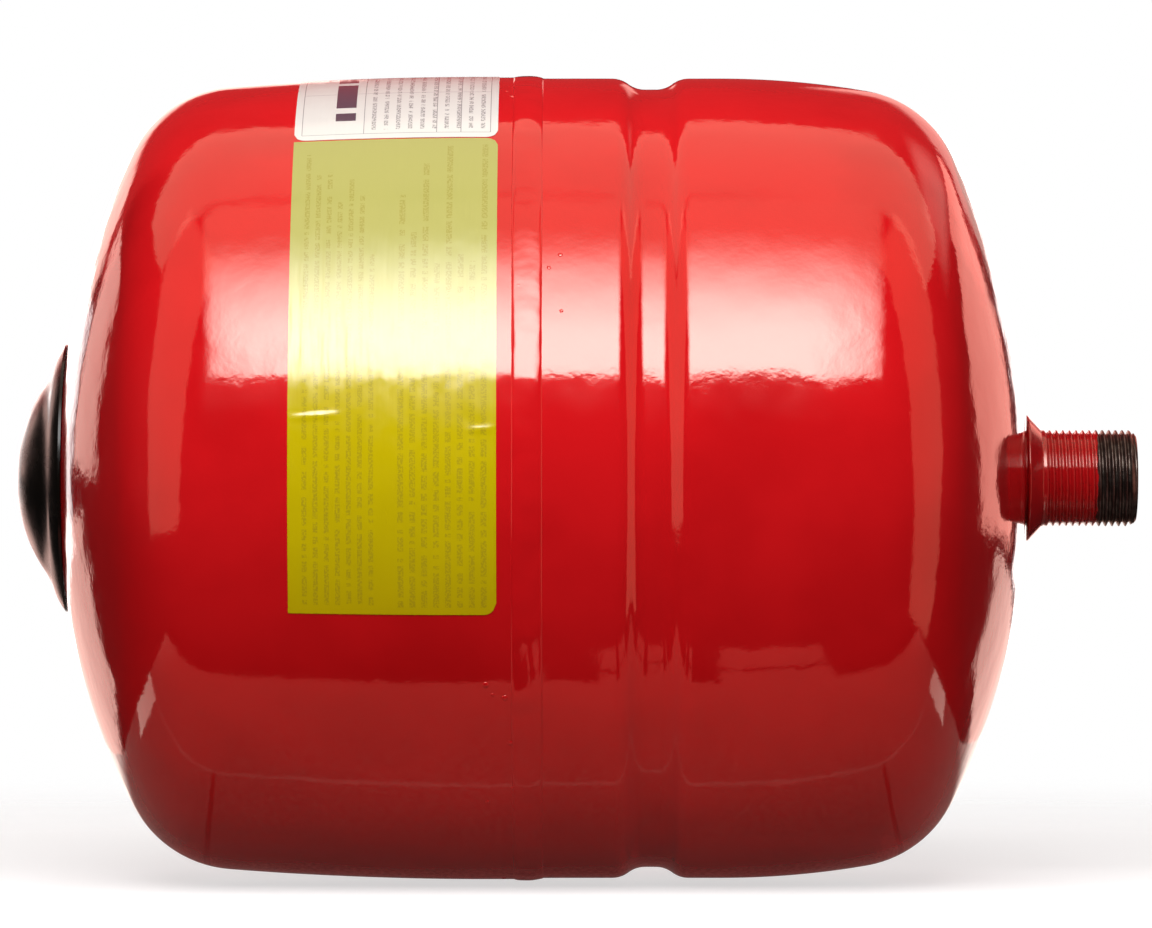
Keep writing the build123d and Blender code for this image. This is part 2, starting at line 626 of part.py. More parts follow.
# ---------------------------------------------------------------- protective cap
def protective_cap():
    """Moulded cap: domed top, hollow foot, sloping rim and a slotted spigot that plugs the well."""
    centre = (CAP_APEX_X + CAP_DOME_RADIUS, 0)
    edge = (centre[0] - sqrt(CAP_DOME_RADIUS**2 - CAP_DOME_EDGE**2), CAP_DOME_EDGE)
    foot = (CAP_BASE_X - CAP_FOOT_HEIGHT, CAP_FOOT_RADIUS)
    rim = (CAP_BASE_X, CAP_RADIUS)
    slope = Vector(-(edge[1] - centre[1]), edge[0] - centre[0]) * -1
    foot_arc = TangentArc(edge, foot, tangent=slope)
    rim_arc = TangentArc(foot, rim, tangent=foot_arc % 1)
    inner_dome = CAP_DOME_RADIUS - CAP_SKIN
    rim_inner = CAP_RADIUS - CAP_RIM_WIDTH
    room_back, room_in = CAP_RIM_ROOM
    lead_length, lead_depth = SPIGOT_LEAD_IN
    spigot_outer = WELL_RADIUS - SPIGOT_GAP
    spigot_inner = spigot_outer - SPIGOT_THICKNESS

    def inside_x(radius):
        return centre[0] - sqrt(inner_dome**2 - radius**2)

    edges = [
        arc((CAP_APEX_X, 0), centre, edge),
        foot_arc,
        rim_arc,
        *path(
            rim,
            (air_crown_x(CAP_RADIUS) - CAP_GAP, CAP_RADIUS),
            (air_crown_x(rim_inner) - CAP_GAP, rim_inner),
            (CAP_BASE_X - room_back, rim_inner - room_in),
            (inside_x(CAP_HOLLOW_RADIUS), CAP_HOLLOW_RADIUS),
        ),
        arc((inside_x(CAP_HOLLOW_RADIUS), CAP_HOLLOW_RADIUS), centre, (inside_x(spigot_outer), spigot_outer)),
        *path(
            (inside_x(spigot_outer), spigot_outer),
            (SPIGOT_END_X - lead_length, spigot_outer),
            (SPIGOT_END_X, spigot_outer - lead_depth),
            (SPIGOT_END_X, spigot_inner),
            (inside_x(spigot_inner), spigot_inner),
        ),
        arc((inside_x(spigot_inner), spigot_inner), centre, (CAP_APEX_X + CAP_SKIN, 0)),
        Line((CAP_APEX_X + CAP_SKIN, 0), (CAP_APEX_X, 0)),
    ]
    cap = spin(edges)
    slot = Pos(SPIGOT_END_X - SPIGOT_SLOT_DEPTH / 2, spigot_outer, 0) * Box(
        SPIGOT_SLOT_DEPTH, 4 * SPIGOT_THICKNESS, SPIGOT_SLOT_WIDTH
    )
    for index in range(SPIGOT_SLOTS):
        cap -= Rot(X=45 + index * 360 / SPIGOT_SLOTS) * slot
    return cap


NODES = [
    air_shell, water_shell, seam_weld, water_nipple, nipple_weld, instruction_label, rating_label,
    clamp_ring, diaphragm_rim, diaphragm_wall, diaphragm_crown,
    valve_stem, valve_gasket, valve_washer, valve_nut, dust_cap, dust_cap_gasket,
    core_plug, core_collar_seal, core_barrel, core_pin, core_spring, core_seal, core_cup,
    protective_cap,
]

os.makedirs("parts", exist_ok=True)
for node in NODES:
    export_step(node(), f"parts/{node.__name__}.step")
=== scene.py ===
"""Looks of a heating expansion vessel: enamelled shells, weld, labels, nipple, air valve and diaphragm.

Outlines are drawn in millimetres as (x, radius) about the vessel's axis, and turned into meshes in
metres. An angle is measured above the horizontal on the -Y side, where the labels face.
"""

import random
from dataclasses import dataclass
from math import atan2, ceil, cos, dist, exp, hypot, pi, radians, sin, sqrt, tan

import bmesh
import bpy
import numpy as np
from mathutils import Matrix, Vector, noise


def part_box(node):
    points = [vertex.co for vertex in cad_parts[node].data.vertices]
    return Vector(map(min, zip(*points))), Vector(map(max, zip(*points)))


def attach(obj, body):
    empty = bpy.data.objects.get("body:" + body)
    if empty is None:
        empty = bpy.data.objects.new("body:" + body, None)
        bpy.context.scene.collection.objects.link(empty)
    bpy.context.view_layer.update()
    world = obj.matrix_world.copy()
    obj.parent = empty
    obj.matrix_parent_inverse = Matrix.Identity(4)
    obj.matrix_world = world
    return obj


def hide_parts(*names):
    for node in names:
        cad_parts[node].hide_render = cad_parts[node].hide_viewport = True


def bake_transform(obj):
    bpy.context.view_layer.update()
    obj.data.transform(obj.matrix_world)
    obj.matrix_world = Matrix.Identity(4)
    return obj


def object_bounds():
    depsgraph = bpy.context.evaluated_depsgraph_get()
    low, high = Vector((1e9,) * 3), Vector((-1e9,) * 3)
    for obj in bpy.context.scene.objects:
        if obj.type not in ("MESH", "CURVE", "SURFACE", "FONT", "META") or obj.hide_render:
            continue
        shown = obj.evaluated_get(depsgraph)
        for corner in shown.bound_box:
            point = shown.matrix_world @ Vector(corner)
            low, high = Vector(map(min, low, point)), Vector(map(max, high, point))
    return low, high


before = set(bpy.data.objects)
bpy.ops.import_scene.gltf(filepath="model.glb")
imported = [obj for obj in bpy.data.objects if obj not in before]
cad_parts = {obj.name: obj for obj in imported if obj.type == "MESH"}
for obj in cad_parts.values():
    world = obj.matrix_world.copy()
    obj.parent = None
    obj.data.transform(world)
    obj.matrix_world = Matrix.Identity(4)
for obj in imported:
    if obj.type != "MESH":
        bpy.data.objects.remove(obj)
cad_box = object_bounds()
MM = 0.001

# --- sizes, in millimetres
SHEET = 1.2
AIR_RADIUS = 110.1
WATER_RADIUS = 109.8
WATER_FLAT_X = -6.0
AIR_FLAT_X = -268.4
SEAM_X = -140.8
SEAM_GAP = 0.8
SEAM_WELD_HALF = 4.2
SEAM_WELD_CREST = 0.42

CROWN_RADIUS = 200.0
CROWN_CUT = 2.0
KNUCKLE_RADIUS = 32.0
AIR_BOW_RADIUS = 870.0
AIR_BOW_X = -154.1
WATER_BOW_RADIUS = 240.0
WATER_BOW_X = -88.5

GROOVE_X = -107.5
GROOVE_FLOOR = 3.0
GROOVE_SLOPE = 9.0
GROOVE_DEPTH = 3.0
GROOVE_HALF = GROOVE_FLOOR / 2 + GROOVE_SLOPE

WELL_RADIUS = 22.0
WELL_DEPTH = 12.0
WELL_BEND = 3.0
FLOOR_X = AIR_FLAT_X + WELL_DEPTH
VALVE_HOLE = 5.1

THREAD_PITCH = 1.814
THREAD_CREST = 13.2205
THREAD_DEPTH = 1.162
PAINTED_THREAD = 0.72       # share of the thread's depth that paint leaves open
PAINT_END_X = 14.9
NIPPLE_END_X = 25.9
NIPPLE_INNER_X = -9.6
NIPPLE_BORE = 9.25
NECK_RADIUS = 12.95
COLLAR_X = -4.2
COLLAR_LAND = 0.4
COLLAR_RADIUS = 17.25

SHANK_RADIUS = 5.0          # air valve
SHANK_PITCH = 1.0
SHANK_DEPTH = 0.55
TIP_RADIUS = 3.875
TIP_PITCH = 0.794
TIP_DEPTH = 0.34
NUT_X = FLOOR_X - 5.5
TIP_ROOT_X = NUT_X - 1.0
TIP_X = TIP_ROOT_X - 9.0
FLANGE_X = FLOOR_X + SHEET + 1.5
FLANGE_END_X = FLANGE_X + 2.0
TAIL_X = FLANGE_END_X + 3.0
FLANGE_RADIUS = 8.5
TAIL_RADIUS = 4.0
CORE_BORE = 1.95
PLUG_BORE = 2.65
DUST_CAP_RADIUS = 5.3

CAP_RADIUS = 36.7           # protective cap
CAP_APEX_X = -281.65
CAP_DOME_RADIUS = 45.0
CAP_DOME_EDGE = 25.5
CAP_FOOT_RADIUS = 31.0
CAP_FOOT_HEIGHT = 3.05
CAP_BASE_X = -267.95
CAP_SKIN = 1.8
CAP_GAP = 0.25
CAP_RIM_WIDTH = 1.9
CAP_HOLLOW_RADIUS = 25.6
SPIGOT_OUTER = 21.7
SPIGOT_INNER = 20.1
SPIGOT_END_X = -260.4
SPIGOT_SLOTS = 4

LABEL_FROM_X = -203.1
LABEL_TO_X = -148.7
LABEL_THICKNESS = 0.12
LABEL_CORNER = 3.3
INSTRUCTION_ANGLES = (-18.8, 55.5)
RATING_ANGLES = (55.8, 108.0)

RUBBER = 2.4
BAG_RADIUS = 99.0
BAG_MOUTH_X = -94.6
BAG_APEX_X = -13.0
BAG_BOW_RADIUS = 600.0
BAG_KNUCKLE_RADIUS = 30.0
BAG_CROWN_RADIUS = 185.0
CROWN_PIECE_RADIUS = 62.0

SPRING_WIRE = 0.11
SPRING_RADIUS = 0.9
SPRING_COILS = 7

SEGMENTS = 288              # round the vessel


@dataclass
class DomeShape:
    """A dished end. way is +1 where it faces +X; the bow is its wall's slight outward curve."""

    apex_x: float
    way: int
    crown: float
    knuckle: float
    bow: float
    bow_x: float
    wall: float


AIR_DOME = DomeShape(
    AIR_FLAT_X - CROWN_CUT, -1, CROWN_RADIUS, KNUCKLE_RADIUS, AIR_BOW_RADIUS, AIR_BOW_X, AIR_RADIUS
)
WATER_DOME = DomeShape(
    WATER_FLAT_X + CROWN_CUT, 1, CROWN_RADIUS, KNUCKLE_RADIUS, WATER_BOW_RADIUS, WATER_BOW_X, WATER_RADIUS
)
BAG = DomeShape(
    BAG_APEX_X, 1, BAG_CROWN_RADIUS, BAG_KNUCKLE_RADIUS, BAG_BOW_RADIUS, BAG_MOUTH_X, BAG_RADIUS
)


# --- outlines
def arc(start, centre, end, step=2.5):
    """Points on the short arc from start to end about centre, at most step millimetres or 4 degrees apart."""
    first = atan2(start[1] - centre[1], start[0] - centre[0])
    last = atan2(end[1] - centre[1], end[0] - centre[0])
    turn = (last - first + pi) % (2 * pi) - pi
    radius = dist(start, centre)
    count = max(2, ceil(abs(turn) / radians(4)), ceil(abs(turn) * radius / step))
    angles = [first + turn * index / count for index in range(count + 1)]
    return [(centre[0] + radius * cos(a), centre[1] + radius * sin(a)) for a in angles]


def line(start, end, step=2.5):
    """Points along a straight run."""
    count = max(1, ceil(dist(start, end) / step))
    shares = [index / count for index in range(count + 1)]
    return [(start[0] + (end[0] - start[0]) * t, start[1] + (end[1] - start[1]) * t) for t in shares]


def tangent_arc(start, heading, end):
    """The arc that leaves start along heading and reaches end."""
    size = hypot(*heading)
    normal = (-heading[1] / size, heading[0] / size)
    chord = (end[0] - start[0], end[1] - start[1])
    reach = (chord[0] ** 2 + chord[1] ** 2) / (2 * (chord[0] * normal[0] + chord[1] * normal[1]))
    centre = (start[0] + normal[0] * reach, start[1] + normal[1] * reach)
    return arc(start, centre, end, step=0.6)


def chain(*runs):
    """Runs of points joined end to end, without repeats."""
    points = []
    for point in (point for run in runs for point in run):
        if not points or dist(points[-1], point) > 1e-6:
            points.append(point)
    return points


def closed(outline):
    """A closed outline, which ends where it starts."""
    return chain(outline, [outline[0]])


def meeting_centre(centre_a, reach_a, centre_b, reach_b):
    """The point at the two given distances from two centres, on the side away from the axis."""
    a, b = Vector(centre_a), Vector(centre_b)
    between = b - a
    along = (reach_a**2 - reach_b**2 + between.length_squared) / (2 * between.length)
    aside = sqrt(reach_a**2 - along**2)
    unit = between.normalized()
    normal = Vector((-unit.y, unit.x))
    choices = [a + unit * along + normal * side for side in (aside, -aside)]
    return tuple(max(choices, key=lambda point: point.y))


def dome(shape, inset, start_radius, step=2.5):
    """Crown, knuckle and bowed wall, tangent to each other, from start_radius out to the wall."""
    way, crown, bow = shape.way, shape.crown - inset, shape.bow - inset
    crown_centre = (shape.apex_x - way * shape.crown, 0)
    bow_centre = (shape.bow_x, shape.wall - shape.bow)
    knuckle_centre = meeting_centre(
        crown_centre, shape.crown - shape.knuckle, bow_centre, shape.bow - shape.knuckle
    )
    to_knuckle = Vector(knuckle_centre) - Vector(crown_centre)
    from_bow = Vector(knuckle_centre) - Vector(bow_centre)
    start = (crown_centre[0] + way * sqrt(crown**2 - start_radius**2), start_radius)
    crown_end = Vector(crown_centre) + to_knuckle.normalized() * crown
    bow_start = Vector(bow_centre) + from_bow.normalized() * bow
    return chain(
        arc(start, crown_centre, crown_end, step),
        arc(crown_end, knuckle_centre, bow_start, step),
        arc(bow_start, bow_centre, (shape.bow_x, shape.wall - inset), step),
    )


def groove(inset):
    """Rolled groove from its right edge to its left, inset from the water half's outside."""
    top = WATER_RADIUS - inset
    bottom = top - GROOVE_DEPTH
    bend = (GROOVE_SLOPE**2 + GROOVE_DEPTH**2) / (4 * GROOVE_DEPTH)
    crest_bend, floor_bend = bend - inset, bend + inset
    share = crest_bend / (crest_bend + floor_bend)
    sides = []
    for side in (1, -1):
        outer = (GROOVE_X + side * GROOVE_HALF, top)
        middle = (outer[0] - side * share * GROOVE_SLOPE, top - share * GROOVE_DEPTH)
        inner = (GROOVE_X + side * GROOVE_FLOOR / 2, bottom)
        sides.append(
            chain(
                arc(outer, (outer[0], top - crest_bend), middle, step=0.8),
                arc(middle, (inner[0], bottom + floor_bend), inner, step=0.8),
            )
        )
    return chain(sides[0], reversed(sides[1]))


def flat_edge(inset):
    """Radius of the flat that cuts a crown sphere."""
    return sqrt((CROWN_RADIUS - inset) ** 2 - (CROWN_RADIUS - CROWN_CUT - inset) ** 2)


def air_crown_x(radius):
    """Outside of the air half's crown at this radius."""
    return AIR_FLAT_X - CROWN_CUT + CROWN_RADIUS - sqrt(CROWN_RADIUS**2 - radius**2)


def air_wall_radius(x):
    """Outside radius of the air half's wall."""
    beyond = max(0.0, AIR_BOW_X - x)
    return AIR_RADIUS - AIR_BOW_RADIUS + sqrt(AIR_BOW_RADIUS**2 - beyond**2)


def air_face(inset):
    """Outline of the air half from the valve's hole to the seam."""
    bend = WELL_BEND
    floor_x, top_x = FLOOR_X + inset, AIR_FLAT_X + inset
    wall = WELL_RADIUS + inset
    low, high = (FLOOR_X - bend, WELL_RADIUS - bend), (AIR_FLAT_X + bend, WELL_RADIUS + bend)
    return chain(
        line((floor_x, VALVE_HOLE), (floor_x, low[1])),
        arc((floor_x, low[1]), low, (low[0], wall), step=0.6),
        line((low[0], wall), (high[0], wall)),
        arc((high[0], wall), high, (top_x, high[1]), step=0.6),
        line((top_x, high[1]), (top_x, flat_edge(inset))),
        dome(AIR_DOME, inset, flat_edge(inset)),
        line((AIR_BOW_X, AIR_RADIUS - inset), (SEAM_X - SEAM_GAP / 2, AIR_RADIUS - inset)),
    )


def water_face(inset):
    """Outline of the water half from the nipple's hole to the seam."""
    flat_x, wall = WATER_FLAT_X - inset, WATER_RADIUS - inset
    return chain(
        line((flat_x, NECK_RADIUS + 0.05), (flat_x, flat_edge(inset))),
        dome(WATER_DOME, inset, flat_edge(inset)),
        line((WATER_BOW_X, wall), (GROOVE_X + GROOVE_HALF, wall)),
        groove(inset),
        line((GROOVE_X - GROOVE_HALF, wall), (SEAM_X + SEAM_GAP / 2, wall)),
    )


# --- meshes
def unit_ring(segments):
    """Angles round the axis and their directions as (y, z), starting on the -Y side and rising."""
    angles = np.arange(segments) * 2 * pi / segments
    return angles, np.stack([-np.cos(angles), np.sin(angles)], axis=1)


def placed(name, data):
    """A new object in the scene."""
    obj = bpy.data.objects.new(name, data)
    bpy.context.scene.collection.objects.link(obj)
    return obj


def piece(name, vertices, faces, material, body="vessel", slot=None, replaces=(), sharp=35, ride=True):
    """A new object, given in millimetres, that rides on a body and stands for CAD nodes.

    slot is not used.
    """
    mesh = bpy.data.meshes.new(name)
    mesh.from_pydata((np.asarray(vertices) * MM).tolist(), [], faces)
    joined = bmesh.new()
    joined.from_mesh(mesh)
    bmesh.ops.remove_doubles(joined, verts=joined.verts, dist=1e-6)
    bmesh.ops.recalc_face_normals(joined, faces=joined.faces)
    joined.to_mesh(mesh)
    joined.free()
    mesh.shade_smooth()
    mesh.set_sharp_from_angle(angle=radians(sharp))
    mesh.materials.append(material)
    obj = placed(name, mesh)
    if ride:
        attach(obj, body)
    if replaces:
        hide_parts(*replaces)
    return obj


def band(low, high, count):
    """Faces between two rings of count vertices, from the number of each ring's first vertex."""
    return [(low + at, low + (at + 1) % count, high + (at + 1) % count, high + at) for at in range(count)]


def turned_grid(outline, segments=SEGMENTS, shape=None):
    """Vertices and faces of an (x, radius) outline turned about X.

    shape(x, angle) gives what is added to the radius there.
    """
    angles, around = unit_ring(segments)
    vertices = np.empty((len(outline), segments, 3))
    for row, (x, radius) in enumerate(outline):
        added = np.array([shape(x, angle) for angle in angles]) if shape else 0
        vertices[row, :, 0] = x
        vertices[row, :, 1:] = around * np.reshape(radius + added, (-1, 1))
    faces = []
    for row in range(len(outline) - 1):
        faces += band(row * segments, (row + 1) * segments, segments)
    return vertices.reshape(-1, 3), faces


@dataclass
class Thread:
    """A helical thread. At x its radius is at most limit(x), and share(x) of its depth is cut."""

    from_x: float
    to_x: float
    pitch: float
    depth: float
    crest: float
    limit: object
    share: object


def groove_depth(phase):
    """Depth of a V thread with rounded crests and roots, 0 at a crest and 1 at a root."""
    flat = 0.12
    rise = abs(2 * (phase % 1) - 1)
    along = min(max((rise - flat) / (1 - 2 * flat), 0), 1)
    return along * 0.6 + 0.4 * along * along * (3 - 2 * along)


def thread_grid(thread, segments, steps=14):
    """Vertices and faces of a thread, whose rows follow the helix and stop at both ends."""
    length = thread.to_x - thread.from_x
    rows = (ceil(length / thread.pitch) + 1) * steps
    _, around = unit_ring(segments)
    vertices = np.empty((rows + 1, segments, 3))
    for row in range(rows + 1):
        for step in range(segments):
            turn = step / segments
            x = thread.from_x + thread.pitch * (row / steps - turn)
            x = min(max(x, thread.from_x), thread.to_x)
            cut_depth = thread.depth * thread.share(x)
            cut_depth *= groove_depth((x - thread.from_x) / thread.pitch + turn)
            radius = min(thread.crest - cut_depth, thread.limit(x))
            vertices[row, step] = (x, *(around[step] * radius))
    faces = []
    for row in range(rows):
        for step in range(segments):
            after, drop = (step + 1, 0) if step + 1 < segments else (0, steps)
            low, high = max(row - drop, 0), max(row + 1 - drop, 0)
            near, far = row * segments + step, (row + 1) * segments + step
            faces.append((near, low * segments + after, high * segments + after, far))
    return vertices.reshape(-1, 3), faces


def turned(name, outline, material, segments=SEGMENTS, shape=None, plain=(), threads=(), **riding):
    """A turned piece. plain outlines and threads close the gaps between its outline's open ends."""
    vertices, faces = turned_grid(outline, segments, shape)
    more_grids = [turned_grid(run, segments) for run in plain]
    more_grids += [thread_grid(thread, segments) for thread in threads]
    for more, more_faces in more_grids:
        faces += [tuple(corner + len(vertices) for corner in face) for face in more_faces]
        vertices = np.concatenate([vertices, more])
    return piece(name, vertices, faces, material, **riding)


def smooth(value):
    """Smooth step from 0 to 1."""
    value = min(max(value, 0.0), 1.0)
    return value * value * (3 - 2 * value)


# --- node trees
class Nodes:
    """A node tree, with short calls for the nodes that are used most."""

    def __init__(self, tree):
        self.tree = tree

    def plug(self, socket, value):
        """Links another node's output to a socket, or sets its value."""
        if isinstance(value, bpy.types.NodeSocket):
            self.tree.links.new(value, socket)
        elif isinstance(value, tuple) and len(value) == 3 and socket.type == "RGBA":
            socket.default_value = (*value, 1)
        else:
            socket.default_value = value

    def node(self, kind, inputs=(), **settings):
        made = self.tree.nodes.new(kind)
        for key, value in settings.items():
            setattr(made, key, value)
        for key, value in dict(inputs).items():
            self.plug(made.inputs[key], value)
        return made

    def place(self):
        """Where the point is on the object, in metres."""
        return self.node("ShaderNodeTexCoord").outputs["Object"]

    def axis(self, vector, name):
        return self.node("ShaderNodeSeparateXYZ", {0: vector}).outputs[name]

    def noise(self, scale, detail=2.0, rough=0.5, stretch=None, where=None):
        where = where or self.place()
        if stretch:
            where = self.node("ShaderNodeMapping", {"Vector": where, "Scale": stretch}).outputs[0]
        inputs = {"Vector": where, "Scale": scale, "Detail": detail, "Roughness": rough}
        return self.node("ShaderNodeTexNoise", inputs).outputs["Fac"]

    def math(self, operation, a, b=0.0, c=0.0, clamp=False):
        inputs = {0: a, 1: b, 2: c}
        return self.node("ShaderNodeMath", inputs, operation=operation, use_clamp=clamp).outputs[0]

    def times(self, a, b):
        return self.math("MULTIPLY", a, b)

    def between(self, value, low, high, to_low=0.0, to_high=1.0):
        """Smooth step of a value from one range to another."""
        inputs = {"Value": value, "From Min": low, "From Max": high, "To Min": to_low, "To Max": to_high}
        return self.node("ShaderNodeMapRange", inputs, interpolation_type="SMOOTHSTEP").outputs[0]

    def cloud(self, scale, detail, low, high, to_low=0.0, to_high=1.0, rough=0.5):
        """Noise, stretched from one range to another."""
        return self.between(self.noise(scale, detail, rough), low, high, to_low, to_high)

    def inside(self, value, low, high):
        """1 where low < value < high."""
        return self.times(self.math("GREATER_THAN", value, low), self.math("LESS_THAN", value, high))

    def mix(self, factor, a, b):
        made = self.node("ShaderNodeMix", data_type="RGBA")
        for key, value in {0: factor, 6: a, 7: b}.items():
            self.plug(made.inputs[key], value)
        return made.outputs[2]

    def bump(self, height, distance, over=None):
        inputs = {"Height": height, "Distance": distance, "Strength": 1.0}
        if over:
            inputs["Normal"] = over
        return self.node("ShaderNodeBump", inputs).outputs[0]


class Shader(Nodes):
    """A material's node tree and its surface."""

    def __init__(self, name, colour, roughness, metallic=0.0, **sockets):
        self.material = bpy.data.materials.new(name)
        self.material.use_nodes = True
        super().__init__(self.material.node_tree)
        self.surface = self.tree.nodes["Principled BSDF"]
        self.set("Base Color", colour)
        self.set("Roughness", roughness)
        self.set("Metallic", metallic)
        for socket, value in sockets.items():
            self.set(socket.replace("_", " "), value)

    def set(self, socket, value):
        self.plug(self.surface.inputs[socket], value)


# --- materials
RED = (0.50, 0.0052, 0.0075)
DEEP_RED = (0.44, 0.0040, 0.0060)
# The nipple's red is the shell's enamel painted darker, as painted shade on its small round neck and threads.
SHADED_NIPPLE_RED = (0.31, 0.0045, 0.0060)
SHEEN_TINT = (1.0, 0.76, 0.68, 1.0)


def finish(shader, colours, patches, gloss, bumps):
    """Gives a surface two colours in patches, varied gloss and an uneven skin.

    patches and gloss are settings of Nodes.cloud. Each bump is (scale, detail, depth), finest first.
    """
    shader.set("Base Color", shader.mix(shader.cloud(*patches), *colours))
    shader.set("Roughness", shader.cloud(*gloss))
    skin = None
    for scale, detail, depth in bumps:
        skin = shader.bump(shader.noise(scale, detail), depth, over=skin)
    shader.set("Normal", skin)
    return shader.material


def red_enamel():
    """Sprayed gloss enamel: even red, with soft clouding, and unevenness both fine and coarse."""
    shader = Shader("red_enamel", RED, 0.07, Specular_IOR_Level=1.0, IOR=1.5, Specular_Tint=SHEEN_TINT)
    orange_peel = ((650, 2.0, 0.000024), (120, 1.0, 0.00010), (48, 1.0, 0.00026))
    return finish(
        shader, (RED, DEEP_RED), (28, 3.0, 0.35, 0.7), (160, 4.0, 0.3, 0.75, 0.055, 0.10), orange_peel
    )


def nipple_finish():
    """Enamel over the neck and the first threads, then bare dark steel with patches of oil and rust."""
    # Its red is painted shade: the same enamel as the shell, only darker.
    shader = Shader(
        "nipple_enamel_and_steel", SHADED_NIPPLE_RED, 0.1, Specular_IOR_Level=0.9, IOR=1.5, Specular_Tint=SHEEN_TINT
    )
    ragged = shader.math("MULTIPLY_ADD", shader.noise(300, 3.0), 0.0016, -0.0008)
    edge = shader.math("ADD", shader.axis(shader.place(), "X"), ragged)
    paint_end, blur = PAINT_END_X * MM, 0.00015
    bare = shader.between(edge, paint_end - blur, paint_end + blur)
    worn = shader.cloud(900, 4.0, 0.58, 0.72)
    steel = shader.mix(shader.cloud(380, 5.0, 0.35, 0.65), (0.045, 0.032, 0.028), (0.10, 0.085, 0.075))
    thin = shader.mix(worn, SHADED_NIPPLE_RED, (0.20, 0.005, 0.005))
    shader.set("Base Color", shader.mix(bare, thin, steel))
    shader.set("Metallic", shader.times(bare, 0.85))
    shader.set("Roughness", shader.between(bare, 0, 1, 0.11, 0.34))
    shader.set("Normal", shader.bump(shader.noise(700, 3.0), 0.00003))
    return shader.material


def inner_primer():
    """Inside of the shells: grey-brown pickled steel, dull, with some rust."""
    shader = Shader("inner_steel", (0.12, 0.10, 0.09), 0.55, 0.6)
    return finish(
        shader, ((0.14, 0.12, 0.11), (0.10, 0.045, 0.022)), (60, 6.0, 0.45, 0.75, 0.0, 1.0, 0.7),
        (150, 4.0, 0.3, 0.7, 0.45, 0.7), [(500, 4.0, 0.00006)],
    )


def label_place(shader):
    """Where the point is on its label, in millimetres: across from the left edge, and up from the bottom."""
    sheet = shader.node("ShaderNodeAttribute", attribute_name="sheet").outputs["Vector"]
    return sheet, shader.axis(sheet, "X"), shader.axis(sheet, "Y")


def chance(shader, a, b):
    """A random number from 0 to 1 for each pair of whole numbers."""
    seed = shader.node("ShaderNodeCombineXYZ", {"X": a, "Y": b}).outputs[0]
    return shader.node("ShaderNodeTexWhiteNoise", {"Vector": seed}, noise_dimensions="3D").outputs["Value"]


def unreadable_print(shader, place, pitch, height, first, last, start, top, letter_width=0.95):
    """Columns of broken marks that stand for print, with ragged ends. No letter is drawn.

    pitch is the columns' spacing and height the share of it that is inked, for columns first to last.
    """
    sheet, across, up = place
    column = shader.math("FLOOR", shader.math("DIVIDE", across, pitch))
    within = shader.math("FRACT", shader.math("DIVIDE", across, pitch))
    letter = shader.math("FLOOR", shader.math("DIVIDE", up, letter_width))
    end = shader.between(chance(shader, column, 7.3), 0.0, 1.0, top * 0.66, top)
    marks = shader.between(shader.noise(1.9, 1.0, where=sheet), 0.42, 0.56, 0.12, 1.0)
    masks = (
        shader.inside(within, 0.5 - height / 2, 0.5 + height / 2),
        shader.inside(column, first - 0.5, last + 0.5),
        shader.inside(up, start, end),
        shader.math("GREATER_THAN", chance(shader, column, letter), 0.15),
    )
    for mask in masks:
        marks = shader.times(marks, mask)
    return marks


def film_waves(shader, sheet):
    """Slight waves of a film that was rubbed down along its length, over a fine grain."""
    along = shader.node("ShaderNodeMapping", {"Vector": sheet, "Scale": (0.30, 0.035, 1.0)}).outputs[0]
    waves = shader.bump(shader.noise(1.0, 2.0, where=along), 0.00022)
    return shader.bump(shader.noise(150, 1.5), 0.00006, over=waves)


YELLOW = (0.455, 0.350, 0.0006)


def yellow_film():
    """Glossy yellow film, paler towards its top as painted sheen, with two blocks of faint unreadable print.
    """
    shader = Shader("yellow_film", YELLOW, 0.12, Specular_IOR_Level=0.8, IOR=1.5)
    place = label_place(shader)
    length = radians(INSTRUCTION_ANGLES[1] - INSTRUCTION_ANGLES[0]) * AIR_RADIUS
    left = unreadable_print(shader, place, 2.9, 0.44, 1, 7, 2.5, length - 3)
    right = unreadable_print(shader, place, 3.1, 0.5, 9, 16, 2.0, length - 1)
    faded = shader.times(shader.math("MAXIMUM", left, right), 0.5)
    tone = shader.mix(shader.cloud(40, 2.0, 0.3, 0.7), YELLOW, (0.43, 0.330, 0.0006))
    # Painted sheen: the base colour pales towards the label's top, standing in for the broad light it
    # reflects there.
    painted_sheen = shader.between(place[2], length * 0.36, length * 0.74)
    tone = shader.mix(painted_sheen, tone, (0.32, 0.302, 0.075))
    shader.set("Base Color", shader.mix(faded, tone, (0.22, 0.17, 0.012)))
    shader.set("Roughness", shader.cloud(220, 3.0, 0.3, 0.7, 0.10, 0.18))
    shader.set("Normal", film_waves(shader, place[0]))
    return shader.material


def ruled(shader, value, lines, width):
    """1 on thin lines at the given values."""
    drawn = 0.0
    for at in lines:
        drawn = shader.math("MAXIMUM", drawn, shader.inside(value, at - width / 2, at + width / 2))
    return drawn


WHITE = (0.58, 0.57, 0.53)


